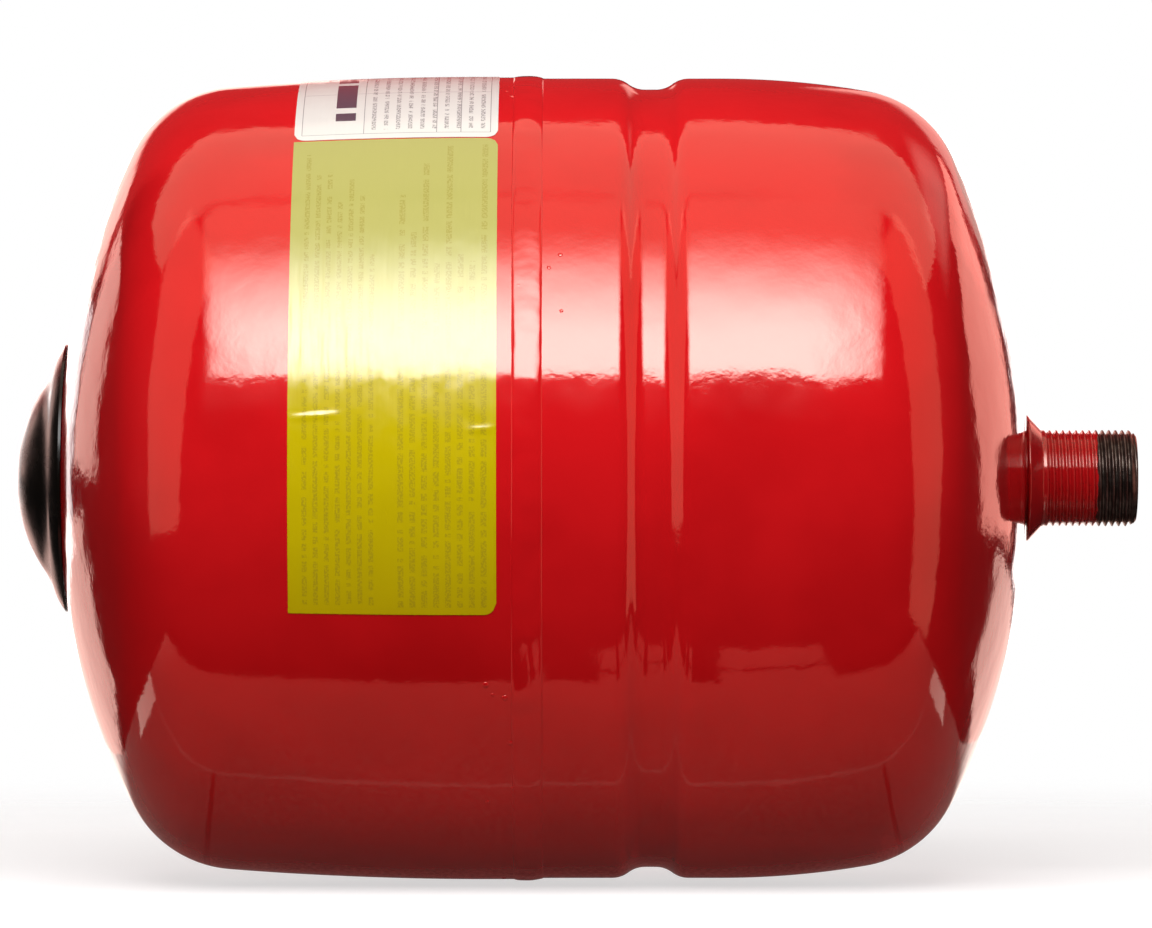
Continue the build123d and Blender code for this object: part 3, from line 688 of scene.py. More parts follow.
def white_film():
    """Glossy white film: a ruled table with grey dashes, and a column of plain blocks. No mark or word."""
    shader = Shader("white_film", WHITE, 0.14, Specular_IOR_Level=0.9, IOR=1.5)
    place = label_place(shader)
    _, across, up = place
    height = radians(RATING_ANGLES[1] - RATING_ANGLES[0]) * AIR_RADIUS
    left, right = 2.0, LABEL_TO_X - LABEL_FROM_X - 2.0
    bottom, top = 2.5, height - 3.0
    rule_width = 0.22
    rows = [height * share for share in (0.30, 0.52, 0.76)]
    upright = shader.times(
        ruled(shader, across, (left, 18.5, 38.0, 44.5, right), rule_width), shader.inside(up, bottom, top)
    )
    crossing = shader.times(
        ruled(shader, up, (bottom, *rows, top), rule_width), shader.inside(across, left, right)
    )
    rules = shader.math("MAXIMUM", upright, crossing)
    dashes = unreadable_print(shader, place, 3.25, 0.36, 6, 15, 4.5, height - 7)
    blocks = unreadable_print(shader, place, 9.0, 0.6, 1, 1, 10.0, height - 4, letter_width=3.7)
    solid = shader.math("GREATER_THAN", blocks, 0.05)
    fine = shader.times(shader.math("MAXIMUM", rules, dashes), 0.6)
    shader.set("Base Color", shader.mix(shader.math("MAXIMUM", fine, solid), WHITE, (0.05, 0.05, 0.07)))
    shader.set("Roughness", shader.cloud(220, 3.0, 0.3, 0.7, 0.11, 0.18))
    shader.set("Normal", film_waves(shader, place[0]))
    return shader.material


def cap_plastic():
    """Glossy black moulding with faint flow marks and dust."""
    black, dusty = (0.0035, 0.0026, 0.0020), (0.012, 0.011, 0.010)
    shader = Shader("cap_black", black, 0.12, Specular_IOR_Level=0.3, IOR=1.5)
    return finish(
        shader, (black, dusty), (900, 5.0, 0.62, 0.75, 0.0, 1.0, 0.7), (90, 4.0, 0.3, 0.75, 0.17, 0.32),
        [(60, 2.0, 0.00006)],
    )


def rubber(name, colour, worn, roughness):
    """Moulded rubber: matt, slightly bloomed and finely pitted."""
    shader = Shader(name, colour, roughness, Specular_IOR_Level=0.35)
    return finish(
        shader, (colour, worn), (45, 5.0, 0.4, 0.75, 0.0, 1.0, 0.65),
        (200, 3.0, 0.3, 0.7, roughness - 0.08, roughness + 0.1), [(2500, 3.0, 0.00002), (120, 2.0, 0.00008)],
    )


def metal(name, colour, dull, roughness, grain):
    """Machined metal: fine turning marks along X, dull patches and varied polish."""
    shader = Shader(name, colour, roughness, 1.0)
    shader.set("Base Color", shader.mix(shader.cloud(260, 5.0, 0.42, 0.72, rough=0.65), colour, dull))
    marks = shader.noise(grain, 2.0, stretch=(1.0, 0.04, 0.04))
    shader.set("Roughness", shader.between(marks, 0.3, 0.7, roughness - 0.07, roughness + 0.1))
    shader.set("Normal", shader.bump(marks, 0.000012))
    return shader.material


def moulded_plastic():
    """Black moulding of the dust cap, satin and faintly grained."""
    shader = Shader("dust_cap_black", (0.012, 0.012, 0.013), 0.4)
    shader.set("Base Color", shader.mix(shader.noise(1500, 3.0), (0.010, 0.010, 0.011), (0.02, 0.02, 0.021)))
    shader.set("Roughness", shader.cloud(900, 3.0, 0.3, 0.7, 0.32, 0.5))
    shader.set("Normal", shader.bump(shader.noise(3500, 3.0), 0.00001))
    return shader.material


ENAMEL = red_enamel()
NIPPLE = nipple_finish()
PRIMER = inner_primer()
YELLOW_FILM = yellow_film()
WHITE_FILM = white_film()
CAP_BLACK = cap_plastic()
DIAPHRAGM = rubber("diaphragm_rubber", (0.016, 0.016, 0.017), (0.040, 0.039, 0.038), 0.55)
SEAL_BLACK = rubber("seal_rubber", (0.012, 0.012, 0.012), (0.030, 0.030, 0.030), 0.5)
SEAL_RED = rubber("seal_red", (0.35, 0.02, 0.015), (0.24, 0.02, 0.015), 0.45)
BRASS = metal("valve_brass", (0.78, 0.52, 0.20), (0.42, 0.27, 0.11), 0.24, 4000)
RING_STEEL = metal("ring_steel", (0.55, 0.55, 0.53), (0.34, 0.33, 0.31), 0.38, 1200)
PIN_STEEL = metal("pin_steel", (0.62, 0.61, 0.60), (0.45, 0.44, 0.43), 0.22, 6000)
DUST_CAP = moulded_plastic()


# --- shells and welds
def pressing_waves(x, angle):
    """The slow unevenness that pressing and rolling leave in the sheet; it only goes inwards."""
    depth = 0.055
    where = Vector((x * 0.028, cos(angle) * 2.6, sin(angle) * 2.6))
    return -depth * min(max(0.5 + 0.9 * noise.noise(where), 0.0), 1.0)


def nearest(outline, centre):
    """Distance in the (x, radius) plane from a face's centre to an outline's nearest point."""
    return np.hypot(outline[:, 0] - centre.x, outline[:, 1] - hypot(centre.y, centre.z)).min()


def shells():
    """Both half shells, each as one sheet with an enamelled outside and a bare steel inside."""
    halves = (("air_half_shell", air_face, "air_shell"), ("water_half_shell", water_face, "water_shell"))
    for name, face, node in halves:
        outside, inside = face(0), face(SHEET)
        outline = closed(chain(outside, reversed(inside)))
        shell = turned(name, outline, ENAMEL, shape=pressing_waves, replaces=[node], sharp=50)
        shell.data.materials.append(PRIMER)
        outer_rows, inner_rows = np.array(outside), np.array(inside)
        for polygon in shell.data.polygons:
            centre = polygon.center / MM
            reach = nearest(inner_rows, centre)
            polygon.material_index = int(reach < SHEET * 0.9 and reach <= nearest(outer_rows, centre))


def bead_lumps(angle, across):
    """Height of the seam bead's ripples, from 0 to 1; across runs from -1 to 1 over its width."""
    lump, bow, seed = 3.1, 0.6, 4.0
    count = round(2 * pi * AIR_RADIUS / lump)
    ripple = 0.5 + 0.5 * cos(count * (angle - bow * (1 - across * across) * lump / AIR_RADIUS))
    where = Vector((cos(angle) * 17, sin(angle) * 17, seed + across * 0.7))
    return 0.08 * ripple + 0.92 * min(max(0.5 + 0.9 * noise.noise(where), 0), 1)


def seam_weld():
    """Painted weld bead over the seam: steep toes, a low crown and uneven ripples."""
    rows, segments, toe_depth = 16, 900, 0.10

    def rise(across):
        return max(0.0, 1 - abs(across) ** 3.5) ** 0.6

    def lift(x, angle):
        across = (x - SEAM_X) / SEAM_WELD_HALF
        return SEAM_WELD_CREST * rise(across) * (0.45 + 0.55 * bead_lumps(angle, across))

    crest = []
    for index in range(rows + 1):
        across = 2 * index / rows - 1
        base = WATER_RADIUS + (AIR_RADIUS - WATER_RADIUS) * smooth(1 - across)
        crest.append((SEAM_X + across * SEAM_WELD_HALF, base - toe_depth * (1 - rise(across))))
    left, right = SEAM_X - SEAM_GAP / 2, SEAM_X + SEAM_GAP / 2
    root = WATER_RADIUS - SHEET
    under = [
        crest[-1], (SEAM_X + SEAM_WELD_HALF, WATER_RADIUS - 0.3), (right, WATER_RADIUS - 0.3), (right, root),
        (left, root), (left, AIR_RADIUS - 0.6), (SEAM_X - SEAM_WELD_HALF, AIR_RADIUS - 0.3), crest[0],
    ]
    turned(
        "seam_weld_bead", crest, ENAMEL, segments, lift, plain=[under],
        replaces=["seam_weld"], sharp=80,
    )


def weld_spatter():
    """Small painted-over beads of spatter beside the seam, each as (x, angle in degrees, radius)."""
    noted = [(-142.9, 27.4, 1), (-135, 30.3, 0.6), (-132, 32.4, 0.7)]
    noted += [(-131.7, 23.6, 0.55), (-142.1, 14.9, 1.1)]
    draw = random.Random(12)
    scattered = []
    for _ in range(46):
        side = draw.choice((-1, 1))
        x = SEAM_X + side * (2.0 + abs(draw.gauss(0, 5.5)))
        scattered.append((x, draw.uniform(62, 335), draw.uniform(0.35, 0.85)))
    rings, sides, sunk = 6, 14, 0.08
    vertices, faces = [], []
    for x, angle, radius in noted + scattered:
        height = 0.26 * min(radius, 1.0)
        base = (AIR_RADIUS if x < SEAM_X else WATER_RADIUS) - sunk
        start = len(vertices)
        for ring in range(rings):
            tilt = ring / (rings - 1) * pi / 2
            up = base + (height + sunk) * sin(tilt)
            for side in range(sides):
                turn = side * 2 * pi / sides
                around = radians(angle) + radius * cos(tilt) * sin(turn) / base
                vertices.append((x + radius * cos(tilt) * cos(turn), -up * cos(around), up * sin(around)))
            if ring:
                faces += band(len(vertices) - 2 * sides, len(vertices) - sides, sides)
        faces.append(tuple(range(start, start + sides)))
    piece("weld_spatter", vertices, faces, ENAMEL, sharp=70)


def nipple():
    """Water connection: neck, conical collar and a true helical pipe thread."""
    bevel, paint_blur = 0.6, 0.8
    land_end = COLLAR_X + COLLAR_LAND

    def end_bevel(x):
        past = x - (NIPPLE_END_X - bevel)
        if past > 0:
            return THREAD_CREST - 0.8 - 0.7 * past / bevel
        return THREAD_CREST - 0.8 * smooth(past / 1.6 + 1)

    def cut_share(x):
        run_in = smooth(x / (1.2 * THREAD_PITCH))
        return run_in * (PAINTED_THREAD + (1 - PAINTED_THREAD) * smooth((x - PAINT_END_X) / paint_blur + 0.5))

    outline = chain(
        [(NIPPLE_END_X, THREAD_CREST - 1.5), (NIPPLE_END_X, NIPPLE_BORE + 0.4)],
        line((NIPPLE_END_X - 0.4, NIPPLE_BORE), (NIPPLE_INNER_X, NIPPLE_BORE)),
        [(NIPPLE_INNER_X, NECK_RADIUS - 1), (NIPPLE_INNER_X + 1, NECK_RADIUS)],
        [(COLLAR_X - 0.3, NECK_RADIUS), (COLLAR_X, NECK_RADIUS + 0.3)],
        [(COLLAR_X, COLLAR_RADIUS - 0.15), (COLLAR_X + 0.15, COLLAR_RADIUS), (land_end, COLLAR_RADIUS)],
        line((land_end + 0.2, COLLAR_RADIUS - 0.15), (0, THREAD_CREST), 0.5),
    )
    thread = Thread(0, NIPPLE_END_X, THREAD_PITCH, THREAD_DEPTH, THREAD_CREST, end_bevel, cut_share)
    turned(
        "threaded_nipple", outline, NIPPLE, 144, threads=[thread], slot="nipple_steel",
        replaces=["water_nipple"], sharp=60,
    )


def nipple_weld():
    """Small fillet of weld round the neck, with soft ripples under the paint."""
    inner, outer = NECK_RADIUS - 0.02, NECK_RADIUS + 2.6
    rows, rise, root_x = 12, 1.3, WATER_FLAT_X - 0.3
    face = []
    for index in range(rows + 1):
        share = index / rows
        face.append((WATER_FLAT_X + rise * (1 - smooth(share) ** 0.7), inner + (outer - inner) * share))

    def ripple(x, angle):
        up = (x - WATER_FLAT_X) / rise
        if not 0 < up < 1:
            return 0
        uneven = noise.noise(Vector((cos(angle) * 4, sin(angle) * 4, 2)))
        wave = cos(angle * 26 + 2 * sin(angle * 3)) * 0.5 + uneven
        return 0.05 * (outer - inner) * wave * (1 - abs(2 * up - 1))

    turned(
        "nipple_weld_bead", closed(face + [(root_x, outer), (root_x, inner)]), ENAMEL, 200, ripple,
        replaces=["nipple_weld"], sharp=70,
    )


# --- labels
def crease(across, up, start, end, at, height):
    """A short raised crease that runs across a label at one height, fading at both ends."""
    if not start < across < end:
        return 0
    fade = sin(pi * (across - start) / (end - start)) ** 0.5
    slope = at + 0.06 * (across - start)
    return height * fade * exp(-(((up - slope) / 0.75) ** 2))


def label(name, angles, rounded_left, material, node, creases=()):
    """A thin film on the shell's wall, as a closed sheet; its print follows the 'sheet' attribute."""
    width = LABEL_TO_X - LABEL_FROM_X
    length = radians(angles[1] - angles[0]) * AIR_RADIUS
    columns, rows = 68, ceil(length / 0.7)
    vertices, places = [], []
    for thickness in (LABEL_THICKNESS, 0.01):
        for column in range(columns + 1):
            across = width * column / columns
            from_edge = min(across, width - across) if rounded_left else width - across
            inward = max(LABEL_CORNER - from_edge, 0)
            corner = LABEL_CORNER - sqrt(LABEL_CORNER**2 - inward**2)
            for row in range(rows + 1):
                up = corner + (length - 2 * corner) * row / rows
                lift = sum(crease(across, up, *shape) for shape in creases)
                radius = air_wall_radius(LABEL_FROM_X + across) + thickness + lift
                angle = radians(angles[0]) + up / AIR_RADIUS
                vertices.append((LABEL_FROM_X + across, -radius * cos(angle), radius * sin(angle)))
                places.append((across, up, 0))

    def at(side, column, row):
        return (side * (columns + 1) + column) * (rows + 1) + row

    faces = []
    for side in (0, 1):
        for c in range(columns):
            faces += [(at(side, c, r), at(side, c + 1, r), at(side, c + 1, r + 1), at(side, c, r + 1))
                      for r in range(rows)]
    rim = [(c, 0) for c in range(columns)] + [(columns, r) for r in range(rows)]
    rim += [(c, rows) for c in range(columns, 0, -1)] + [(0, r) for r in range(rows, 0, -1)]
    for start, end in zip(rim, rim[1:] + rim[:1]):
        faces.append((at(0, *start), at(0, *end), at(1, *end), at(1, *start)))
    film = piece(name, vertices, faces, material, replaces=[node], sharp=50)
    film.data.attributes.new("sheet", "FLOAT_VECTOR", "POINT").data.foreach_set("vector", np.ravel(places))


def labels():
    """Both films. The yellow one has two short creases, each as (start, end, height on it, rise)."""
    up = radians(8.4 - INSTRUCTION_ANGLES[0]) * AIR_RADIUS
    creases = ((0.2, 14.0, up, 0.26), (46.5, 54.2, up - 3.4, 0.24))
    label("instruction_film", INSTRUCTION_ANGLES, False, YELLOW_FILM, "instruction_label", creases)
    label("rating_film", RATING_ANGLES, True, WHITE_FILM, "rating_label")


# --- protective cap
def cut(obj, cutters):
    """Takes boxes, each as (low corner, high corner, turn about X), away from an object's mesh."""
    for low, high, turn in cutters:
        centre, size = (Vector(low) + Vector(high)) / 2 * MM, (Vector(high) - Vector(low)) * MM
        box = bmesh.new()
        bmesh.ops.create_cube(box, size=1)
        box.transform(Matrix.Rotation(turn, 4, "X") @ Matrix.LocRotScale(centre, None, size))
        mesh = bpy.data.meshes.new("cutter")
        box.to_mesh(mesh)
        box.free()
        tool = placed("cutter", mesh)
        modifier = obj.modifiers.new("cut", "BOOLEAN")
        modifier.operation, modifier.solver, modifier.object = "DIFFERENCE", "EXACT", tool
        graph = bpy.context.evaluated_depsgraph_get()
        result = bpy.data.meshes.new_from_object(obj.evaluated_get(graph))
        obj.modifiers.clear()
        obj.data = result
        bpy.data.objects.remove(tool)
    obj.data.set_sharp_from_angle(angle=radians(35))


def protective_cap():
    """Glossy moulded cap: domed top, hollow foot, sloping rim and a slotted spigot."""
    centre = (CAP_APEX_X + CAP_DOME_RADIUS, 0)
    edge = (centre[0] - sqrt(CAP_DOME_RADIUS**2 - CAP_DOME_EDGE**2), CAP_DOME_EDGE)
    foot = (CAP_BASE_X - CAP_FOOT_HEIGHT, CAP_FOOT_RADIUS)
    rim = (CAP_BASE_X, CAP_RADIUS)
    foot_run = tangent_arc(edge, (edge[1], centre[0] - edge[0]), foot)
    last, before = foot_run[-1], foot_run[-2]
    rim_run = tangent_arc(foot, (last[0] - before[0], last[1] - before[1]), rim)
    inner_dome = CAP_DOME_RADIUS - CAP_SKIN
    rim_inner = CAP_RADIUS - CAP_RIM_WIDTH
    under_rim = [(air_crown_x(radius) - CAP_GAP, radius) for radius in (CAP_RADIUS, rim_inner)]

    def inside(radius):
        return (centre[0] - sqrt(inner_dome**2 - radius**2), radius)

    outline = chain(
        arc((CAP_APEX_X, 0), centre, edge, 1.2),
        foot_run,
        rim_run,
        [(CAP_BASE_X + 0.15, CAP_RADIUS)],
        line(*under_rim, 0.6),
        [(CAP_BASE_X - 1.0, rim_inner - 1.8), inside(CAP_HOLLOW_RADIUS)],
        arc(inside(CAP_HOLLOW_RADIUS), centre, inside(SPIGOT_OUTER), 1.2),
        line(inside(SPIGOT_OUTER), (SPIGOT_END_X - 0.8, SPIGOT_OUTER), 1.5),
        [(SPIGOT_END_X, SPIGOT_OUTER - 0.5), (SPIGOT_END_X, SPIGOT_INNER)],
        line((SPIGOT_END_X, SPIGOT_INNER), inside(SPIGOT_INNER), 1.5),
        arc(inside(SPIGOT_INNER), centre, (CAP_APEX_X + CAP_SKIN, 0), 1.2),
    )
    cap = turned(
        "protective_cap_shell", outline, CAP_BLACK, 144, body="valve_cover",
        replaces=["protective_cap"], sharp=30,
    )
    low = (SPIGOT_END_X - 8, SPIGOT_INNER - 1, -2.0)
    high = (SPIGOT_END_X + 1, SPIGOT_OUTER + 1, 2.0)
    cut(cap, [(low, high, radians(45) + index * 2 * pi / SPIGOT_SLOTS) for index in range(SPIGOT_SLOTS)])


# --- air valve
def valve_stem():
    """Brass stem with helical threads on its shank and tip."""
    root = SHANK_RADIUS - SHANK_DEPTH

    def shank_limit(x):
        return root + (SHANK_RADIUS - root) * smooth((x - TIP_ROOT_X) / 0.7)

    def tip_limit(x):
        return TIP_RADIUS - 0.4 * (1 - smooth((x - TIP_X) / 0.5))

    def tip_share(x):
        return smooth((TIP_ROOT_X - x) / 0.7)

    def shank_share(x):
        return smooth((FLANGE_X - x) / 1.2)

    outline = [
        (TIP_X, TIP_RADIUS - 0.4), (TIP_X, PLUG_BORE + 0.2), (TIP_X + 0.2, PLUG_BORE),
        (TIP_X + 6.0, PLUG_BORE), (TIP_X + 7.5, CORE_BORE),
        (TAIL_X, CORE_BORE), (TAIL_X, TAIL_RADIUS - 0.4), (TAIL_X - 0.4, TAIL_RADIUS),
        (FLANGE_END_X, TAIL_RADIUS), (FLANGE_END_X, FLANGE_RADIUS - 0.2),
        (FLANGE_END_X - 0.2, FLANGE_RADIUS), (FLANGE_X, FLANGE_RADIUS), (FLANGE_X, SHANK_RADIUS),
    ]
    shoulder = [(TIP_ROOT_X, TIP_RADIUS), (TIP_ROOT_X, root)]
    threads = [
        Thread(TIP_X, TIP_ROOT_X, TIP_PITCH, TIP_DEPTH, TIP_RADIUS, tip_limit, tip_share),
        Thread(TIP_ROOT_X, FLANGE_X, SHANK_PITCH, SHANK_DEPTH, SHANK_RADIUS, shank_limit, shank_share),
    ]
    turned(
        "air_valve_stem", outline, BRASS, 96, plain=[shoulder], threads=threads,
        replaces=["valve_stem"], sharp=50,
    )


def dust_cap():
    """Small screw cap with a grooved grip."""
    low, high = (corner[0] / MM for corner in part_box("dust_cap"))
    radius, bend, edge = DUST_CAP_RADIUS, 0.8, 0.2
    bore, inside_x = TIP_RADIUS + 0.1, low + 1.3
    grooves, depth = 18, 0.32
    grip_from, grip_to, fade = low + 1.4, high - 1.2, 0.5

    def grip(x, angle):
        ends = smooth((x - grip_from) / fade) * smooth((grip_to - x) / fade)
        return -depth * ends * max(0.0, cos(angle * grooves)) ** 2

    outside = chain(
        [(low, 0), (low, 3.0), (low, radius - 0.9)],
        arc((low, radius - bend), (low + bend, radius - bend), (low + bend, radius), 0.2),
        line((low + bend, radius), (high - edge, radius), 0.25),
        [(high, radius - edge)],
    )
    mouth = [(high, radius - edge), (high, bore + edge), (high - edge, bore)]
    hollow = mouth + [(inside_x, bore), (inside_x, 0)]
    turned(
        "valve_dust_cap", outside, DUST_CAP, 216, grip, plain=[hollow], body="dust_cap_shell",
        replaces=["dust_cap"], sharp=40,
    )


def core_spring():
    """Coil spring of the valve core."""
    low, high = (corner[0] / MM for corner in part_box("core_spring"))
    start, end = low + SPRING_WIRE, high - SPRING_WIRE
    per_coil, sides = 28, 10
    steps = SPRING_COILS * per_coil
    slope = (end - start) / (SPRING_COILS * 2 * pi * SPRING_RADIUS)
    vertices, faces = [], []
    for step in range(steps + 1):
        angle = step * 2 * pi / per_coil
        out = Vector((0, cos(angle), sin(angle)))
        along = Vector((slope, -sin(angle), cos(angle))).normalized()
        centre = out * SPRING_RADIUS + Vector((start + (end - start) * step / steps, 0, 0))
        side_way = along.cross(out)
        for side in range(sides):
            turn = side * 2 * pi / sides
            vertices.append(centre + (out * cos(turn) + side_way * sin(turn)) * SPRING_WIRE)
        if step:
            faces += band((step - 1) * sides, step * sides, sides)
    faces += [tuple(range(sides)), tuple(steps * sides + side for side in range(sides))]
    spring = piece(
        "core_coil_spring", vertices, faces, PIN_STEEL, replaces=["core_spring"],
        sharp=60, ride=False,
    )
    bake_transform(spring)


# --- diaphragm
def diaphragm():
    """Rubber bag: its crown travels with the diaphragm's middle, and its wall stays fixed between the crown
    and the held rim.
    """
    step = 1.6
    outside = dome(BAG, 0, CROWN_PIECE_RADIUS, step)
    inside = dome(BAG, RUBBER, CROWN_PIECE_RADIUS, step)
    wall = turned(
        "diaphragm_side", closed(chain(outside, reversed(inside))), DIAPHRAGM, 192,
        replaces=["diaphragm_wall"], sharp=60, ride=False,
    )
    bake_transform(wall)
    centre = (BAG_APEX_X - BAG_CROWN_RADIUS, 0)
    runs = []
    for inset in (0, RUBBER):
        reach = BAG_CROWN_RADIUS - inset
        edge = (centre[0] + sqrt(reach**2 - CROWN_PIECE_RADIUS**2), CROWN_PIECE_RADIUS)
        runs.append(arc((centre[0] + reach, 0), centre, edge, step))
    turned(
        "diaphragm_middle_disc", chain(runs[0], reversed(runs[1])), DIAPHRAGM, 192, body="diaphragm_middle",
        replaces=["diaphragm_crown"], sharp=60,
    )


def carried_over():
    """Better materials on the CAD pieces whose shapes are already right."""
    finishes = (
        (RING_STEEL, ["clamp_ring"]),
        (DIAPHRAGM, ["diaphragm_rim"]),
        (SEAL_BLACK, ["valve_gasket", "dust_cap_gasket", "core_seal"]),
        (SEAL_RED, ["core_collar_seal"]),
        (BRASS, ["valve_nut", "core_plug", "core_barrel", "core_cup"]),
        (PIN_STEEL, ["valve_washer", "core_pin"]),
    )
    for material, nodes in finishes:
        for slot in (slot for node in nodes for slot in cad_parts[node].material_slots):
            slot.link = "DATA"
            slot.material = material


# --- studio
CENTRE = (cad_box[0] + cad_box[1]) / 2
STRIP_TINT = (1.0, 0.45, 0.35)      # cards that the shell's sides reflect as a warmer red
RIGHT_STRIP_TINT = (1.0, 0.36, 0.26)
BAND_TINT = (1.0, 0.62, 0.54)       # cards that its ends and edges reflect as a pale pink
RIGHT_BAND_TINT = (1.0, 0.40, 0.33)
UPPER_TINT = (1.0, 0.78, 0.60)      # panels that its top reflects as an orange red
DEEP_TINT = (1.0, 0.06, 0.06)
MAIN_FADE = (0.17, 0.76)            # shares of the main softbox's height between which it dies away
SOFT_EDGES = (0.04, 0.04, 0.04)     # shares of a light's sides, bottom and top over which it dies away


def camera():
    """A long lens square to the vessel's side, a little above its axis."""
    distance, rise, seen_width = 2.05, 0.0039, 0.3168
    data = bpy.data.cameras.new("camera")
    data.lens = data.sensor_width / 2 / (seen_width / 2 / distance)
    obj = placed("camera", data)
    obj.location = (CENTRE.x, -distance, rise)
    obj.rotation_euler = (radians(90), 0, 0)
    bpy.context.scene.camera = obj


def bearing(azimuth, elevation):
    """Unit vector towards a bearing in degrees; azimuth 0 is the camera's side, 90 is +X."""
    turn, lift = radians(azimuth), radians(elevation)
    return Vector((sin(turn) * cos(lift), -cos(turn) * cos(lift), sin(lift)))


def feather(data, fade, fade_span, soft):
    """Makes an area light's strength run from fade[0] low down to fade[1] high up, with soft edges.

    It changes between the two shares of its height in fade_span. soft is the share of its width, and of
    its height at the bottom and at the top, over which each edge dies away.
    """
    data.use_nodes = True
    nodes = Nodes(data.node_tree)
    spot = nodes.node("ShaderNodeNewGeometry").outputs["Parametric"]
    across, up = (nodes.axis(spot, letter) for letter in "XY")
    sides, bottom, top = soft
    strength = nodes.between(up, *fade_span, *fade)
    for place, start, end, low, high in (
        (across, 0.0, sides, 0, 1), (across, 1.0 - sides, 1.0, 1, 0),
        (up, 0.0, bottom, 0, 1), (up, 1.0 - top, 1.0, 1, 0),
    ):
        if end > start:
            strength = nodes.times(strength, nodes.between(place, start, end, low, high))
    nodes.plug(nodes.tree.nodes["Emission"].inputs["Strength"], strength)


def softbox(name, place, facing, size, radiance, reflected=True, tint=(1, 1, 1), fade=(1, 1),
            fade_span=(0, 1), soft=SOFT_EDGES):
    """An area light at a place, facing a point; it is either only reflected or only lights surfaces."""
    data = bpy.data.lights.new(name, "AREA")
    data.shape = "RECTANGLE"
    data.size, data.size_y = size
    data.energy = 4 * size[0] * size[1] * radiance
    data.color = tint
    feather(data, fade, fade_span, soft)
    obj = placed(name, data)
    obj.location = place
    obj.rotation_mode = "QUATERNION"
    obj.rotation_quaternion = (facing - place).to_track_quat("-Z", "Y")
    obj.visible_camera = False
    obj.visible_diffuse = not reflected
    obj.visible_glossy = reflected


def reflected_card(name, azimuths, elevations, distance, radiance, tint, soft=SOFT_EDGES):
    """A card that fills a range of bearings from the vessel, in degrees, and is seen only in reflections."""
    azimuth, elevation = sum(azimuths) / 2, sum(elevations) / 2
    half_width, half_height = (radians(high - low) / 2 for low, high in (azimuths, elevations))
    width = 2 * distance * tan(half_width) * cos(radians(elevation))
    height = 2 * distance * tan(half_height)
    place = CENTRE + bearing(azimuth, elevation) * distance
    softbox(name, place, CENTRE, (width, height), radiance, tint=tint, soft=soft)


def surface_lights():
    """Lights that fall on the vessel but aren't seen in it."""
    for name, place, size, radiance in (
        ("key_light", bearing(-4, 40) * 0.9, (0.7, 0.7), 7.6),
        ("back_fill", bearing(180, 50) * 1.6, (1.2, 0.8), 1.2),
        ("side_fill_-1", bearing(-78, 8) * 1.3, (0.7, 0.8), 1.3),
        ("side_fill_+1", bearing(78, 8) * 1.3, (0.7, 0.8), 1.3),
        ("under_fill", Vector((0, 0.25, -0.9)), (1.0, 0.9), 1.5),
    ):
        softbox(name, CENTRE + place, CENTRE, size, radiance, reflected=False)


def reflections():
    """Softboxes and cards that are seen in the enamel but don't light it."""
    size = (1.24, 1.5)
    softbox(
        "main_softbox", CENTRE + bearing(3, 57) * 1.3, CENTRE, size, 9.2,
        fade=(1.0, 0.0), fade_span=MAIN_FADE, soft=(0.28, 0.05, 0.0),
    )
    softbox(
        "upper_diffuser", CENTRE + bearing(3, 57) * 1.32, CENTRE, size, 0.85, tint=UPPER_TINT,
        fade=(0.0, 1.0), fade_span=MAIN_FADE, soft=(0.14, 0.0, 0.08),
    )
    overhead = CENTRE + Vector((0.1, 0.244, 1.15))
    softbox(
        "overhead_panel", overhead, overhead - Vector((0, 0, 1)), (3.1, 0.792), 0.8, tint=UPPER_TINT,
        soft=(0.01, 0.102, 0.0),
    )
    side_edges, rim_edges, low_edges = (0.05, 0.03, 0.1), (0.04, 0.0, 0.2), (0.04, 0.1, 0.0)
    for card in (
        ("left_strip", (-80, -37), (-12, 68), 1.4, 0.95, STRIP_TINT, side_edges),
        ("left_band", (-146, -134), (0, 14), 1.6, 1.4, BAND_TINT),
        ("left_rim", (-176, -150), (-2, 20), 1.6, 1.6, BAND_TINT, rim_edges),
        ("left_low_strip", (-174, -141), (-13, -2), 1.6, 1.3, BAND_TINT, low_edges),
        ("right_strip", (51, 86), (-32, 66), 1.4, 1.0, RIGHT_STRIP_TINT, side_edges),
        ("right_band", (130, 151), (-4, 24), 1.6, 1.75, RIGHT_BAND_TINT),
        ("right_rim", (154, 174), (-4, 27), 1.6, 0.7, BAND_TINT, rim_edges),
        ("right_low_strip", (141, 172), (-12, -4.5), 1.6, 1.3, BAND_TINT, low_edges),
        ("upper_right", (104, 150), (22, 46), 1.6, 0.7, BAND_TINT, (0.35, 0.3, 0.3)),
    ):
        reflected_card(*card)
    sweep = Vector((CENTRE.x - 0.11, 1.5, cad_box[0].z + 0.17))
    softbox("back_sweep", sweep, sweep - Vector((0, 1, 0)), (1.72, 0.36), 1.6)
    rear = CENTRE + bearing(180, 38) * 1.8
    softbox("rear_red_card", rear, CENTRE, (3.0, 1.9), 0.4, tint=DEEP_TINT, soft=(0.1, 0.02, 0.1))


def plate(name, vertices, faces, material, drop):
    """A staged surface just below the vessel, which isn't part of the object."""
    mesh = bpy.data.meshes.new(name)
    mesh.from_pydata(vertices, [], faces)
    mesh.materials.append(material)
    obj = placed(name, mesh)
    obj.location = (CENTRE.x, 0, cad_box[0].z - drop)
    return obj


